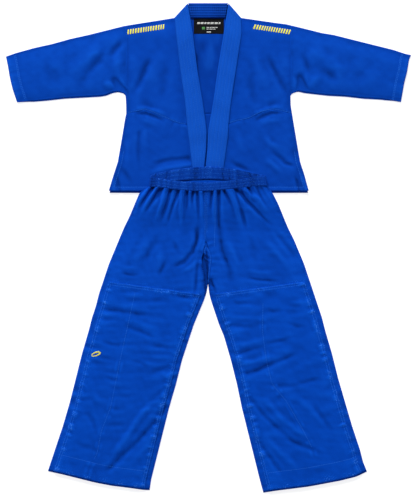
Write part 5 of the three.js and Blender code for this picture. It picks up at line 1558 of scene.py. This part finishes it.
def band_rings(inner, seed):
    rings = []
    arc = 0.0
    prev = None
    for j, (o, f, z, a, s, part) in enumerate(stations):
        W = np.hypot(*(f - o))
        d = (f - o) / W
        c = (o + f) / 2
        if prev is not None:
            arc += np.hypot(*(c - prev))
        prev = c
        T = 0.8 if inner == "elastic" else BAND_THICK - 0.7
        half = W / 2 - {"": 0, "lining": 0.9, "elastic": 2.4}[inner]
        m = 9 if inner == "elastic" else 17
        ring = []
        q = np.linspace(-1, 1, m)
        n_out = np.array([math.sin(a), -math.cos(a)])      # towards +-x, z: outside of the loop
        g1 = noise1(arc, 4.6, seed)
        g2 = noise1(arc, 8.6, seed + 1)
        for side in (1, -1):
            for w in (q if side == 1 else q[::-1]):
                edge = max(0.0, 1 - abs(w) ** 6)
                h = T / 2 * (0.35 + 0.65 * math.sqrt(edge))
                if not inner:
                    rows = sum(0.45 * math.exp(-((w - r) / 0.055) ** 2) for r in (-0.55, 0.0, 0.55))
                    gath = (0.95 * g1 + 1.0 * g2) * (0.72 + 0.28 * math.cos(3 * math.pi * w)) * (1 if part in (0, 2) else 0.35)
                    h += (gath if (side == 1) == (part == 2) else gath * 0.3) - rows * 0.8
                    h = max(h, 0.85) + 0.3
                if inner == "lining":
                    rows = 0.45 * sum(math.exp(-((w - r) / 0.055) ** 2) for r in (-0.55, 0.0, 0.55))
                    gath = (0.95 * g1 + 1.0 * g2) * (0.72 + 0.28 * math.cos(3 * math.pi * w)) * (1 if part in (0, 2) else 0.35)
                    h += (gath if (side == 1) == (part == 2) else gath * 0.3) - rows * 0.8
                    h = max(max(h, 0.85) + 0.3 - 0.55, 0.6)
                p2 = c + d * (w * half)
                off = n_out * h * side
                ring.append((p2[0] + off[0], p2[1], z + off[1]))
                if not inner:
                    # painted highlight on gather crests, painted shade in gather hollows and stitched rows, with random
                    # tone
                    band_crease.append(0.80 * gath + 0.2 * noise1(arc + 9 * w, 3.4, 77) - 0.35 * rows)
                    band_wear.append(0.25 + 0.75 * max(0.0, abs(w) - 0.62) / 0.38)
        rings.append(ring)
    return np.array(rings)


ROUT = band_rings("", 501)
RIN = band_rings("lining", 501)
# the casing is folded cloth: its outside, and its inside turned the other way round
wb = tube_of_sections("waistband_cloth", ROUT, M_BAND, closed_path=True, crease=np.clip(np.array(band_crease), -1.2, 1.2), lining=RIN,
                      wear=np.array(band_wear))
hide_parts("waistband_back", "waistband_front"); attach(wb, "trousers")
el = tube_of_sections("waist_elastic_band", band_rings("elastic", 501), M_ELASTIC, closed_path=True)
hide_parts("waist_elastic_back", "waist_elastic_front"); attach(el, "trousers")

# --------------------------------------------------------------- widths of the lapel and collar strips, not used further
for ob, (O, I, _, s), on in ((rl, info_r, rc), (ll, info_l, lc), (bc, info_c, back)):
    W = float(np.sqrt(((I - O) ** 2).sum(1)).mean())

# ------------------------------------------------------------------ stitching
def inside_rows(edge, centre_pt, dists):
    rows = []
    for d in dists:
        a, b = offset(rounded(edge, 4, 3), d), offset(rounded(edge, 4, 3), -d)
        c = arr(centre_pt)
        rows.append(a if np.hypot(*(a[len(a) // 2] - c)) < np.hypot(*(b[len(b) // 2] - c)) else b)
    return rows


def trim(line, a, b):
    L = length(line)
    return sample(line, np.linspace(a / L, 1 - b / L, max(4, int(L / 3))))


def stitch(name, lines, surf, body, bend=None, lift=0.75, mat=None, **kw):
    ob = stitch_row(lines, surf, lift, mat or M_THREAD, name, **kw)
    if bend:
        bends(ob)
    else:
        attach(ob, body)
    return ob


S_R, S_L = Surface(P_rc, P_rs), Surface(P_lc, P_ls)
yr_up = inside_rows(yoke_r, (-150, 500), (2.6,))
yl_up = inside_rows(yoke_l, (150, 500), (2.6,))
hr = inside_rows(hemline_r, (-150, 300), (9.4,))
hl = inside_rows(hemline_l, (150, 300), (9.4,))
vr = inside_rows(side_hem_r, (-100, 230), (10.4,))
vl = inside_rows(side_hem_l, (100, 230), (10.4,))
stitch("right_front_stitching", [trim(l, 4, 4) for l in yr_up] + [trim(hr[0], 14, 2), trim(vr[0], 2, 12)], S_R, "jacket", seed=11)
stitch("left_front_stitching", [trim(l, 4, 4) for l in yl_up] + [trim(hl[0], 14, 2), trim(vl[0], 2, 12)], S_L, "jacket", seed=12)
cr = inside_rows(cuff_r, (-250, 510), (26.4, 23.0))
cl = inside_rows(cuff_l, (250, 510), (24.6, 21.2))
stitch("right_cuff_stitching", [trim(l, 1.5, 1.5) for l in cr], Surface(P_rsf), "right_sleeve", "right_sleeve", seed=13)
stitch("left_cuff_stitching", [trim(l, 1.5, 1.5) for l in cl], Surface(P_lsf), "left_sleeve", "left_sleeve", seed=14)
for nm, O, I, TOPG, sd in (("right_lapel_stitching", info_r[0], info_r[1], TOP_RL, 15), ("left_lapel_stitching", info_l[0], info_l[1], TOP_LL, 16),
                           ("back_collar_stitching", info_c[0], info_c[1], TOP_BC, 17)):
    rows = []
    for k in range(5):
        t = (k + 0.6) / 5.15
        W = np.sqrt(((I - O) ** 2).sum(1)).mean()
        w = (0.15 + t * (W - LAPEL_THICK / 2 - 0.15)) / W
        rows.append((O + (I - O) * w)[3:-3])
    stitch(nm, rows, Surface(TOPG), "jacket", lift=0.05, mat=M_THREAD if "collar" not in nm else M_THREAD_DARK, seed=sd, r=0.3)
# trousers
for sfx, P, S, cen, patchP, SP, body in (("right", P_rt, SURF_RT, CENTRE_R, P_rp, SURF_RP, "right_leg"), ("left", P_lt, SURF_LT, CENTRE_L, P_lp, SURF_LP, "left_leg")):
    left, right, top, bottom = (patchP[:, 0, :2], patchP[:, -1, :2], patchP[0, :, :2], patchP[-1, :, :2])
    mid = patchP[patchP.shape[0] // 2, patchP.shape[1] // 2, :2]
    rows = []
    for e in (left, right):
        rows += inside_rows(e, mid, (2.4, 8.6))
    rows += inside_rows(top, mid, (2.4, 8.0))
    rows += inside_rows(bottom, mid, (46.5,))
    rows = [trim(l, 5, 3) for l in rows] + [trim(cen, 6, 50)]
    stitch(sfx + "_patch_stitching", rows, SP, body, body, lift=0.62, seed=18 + (sfx == "left"))
fly_r, fly_l = rounded([(-9.7, 150), (-9.5, 60), (-9.5, 22)], 5, 3), rounded([(18, 150), (18, 60), (16, 0)], 5, 3)
stitch("front_seam_stitching", [fly_r], SURF_RT, "trousers", lift=0.75, seed=21)
stitch("front_seam_stitching_2", [fly_l, rounded([(-4.4, 150), (-4.4, 40)], 5, 3)], SURF_LT, "trousers", lift=0.75, seed=22)

part = np.array([st[5] for st in stations])
fb_top = ROUT[part == 2][:, :17]
bb_top = ROUT[part == 0][:, 17:][:, ::-1]
rows = [fb_top[3:-3, k, :2] for k in (3, 8, 13)]
stitch("waistband_front_stitching", rows, Surface(fb_top), "trousers", lift=0.1, seed=31, pitch=4.4, run=1.9, r=0.42, wobble=0.9)
rows = [bb_top[3:-3, k, :2] for k in (3, 8, 13)]
rows += [arr([(x, 188 + 3 * (i % 2)), (x + 2.4, 214 - 3 * (i % 2))]) for i, x in enumerate((-11, -7, -3, 1, 5))]
stitch("waistband_back_stitching", rows, Surface(bb_top), "trousers", lift=0.1, seed=32, pitch=4.4, run=1.9, r=0.42, wobble=0.9)
stitch("gusset_stitching", [arr([(gl_x[k] + 1.6, gy[k]) for k in range(2, 12, 3)]), arr([(gr_x[k] - 1.6, gy[k]) for k in range(4, 44, 3)])],
       Surface(P_gu), "trousers", lift=0.6, seed=33, pitch=4.2, run=2.8, r=0.5)

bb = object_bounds()


def plain(x):
    return [[float(c) for c in v] for v in x] if hasattr(x[0], "__len__") else [float(c) for c in x]


{"cad": plain(CAD_BOX), "visual": plain(bb)}
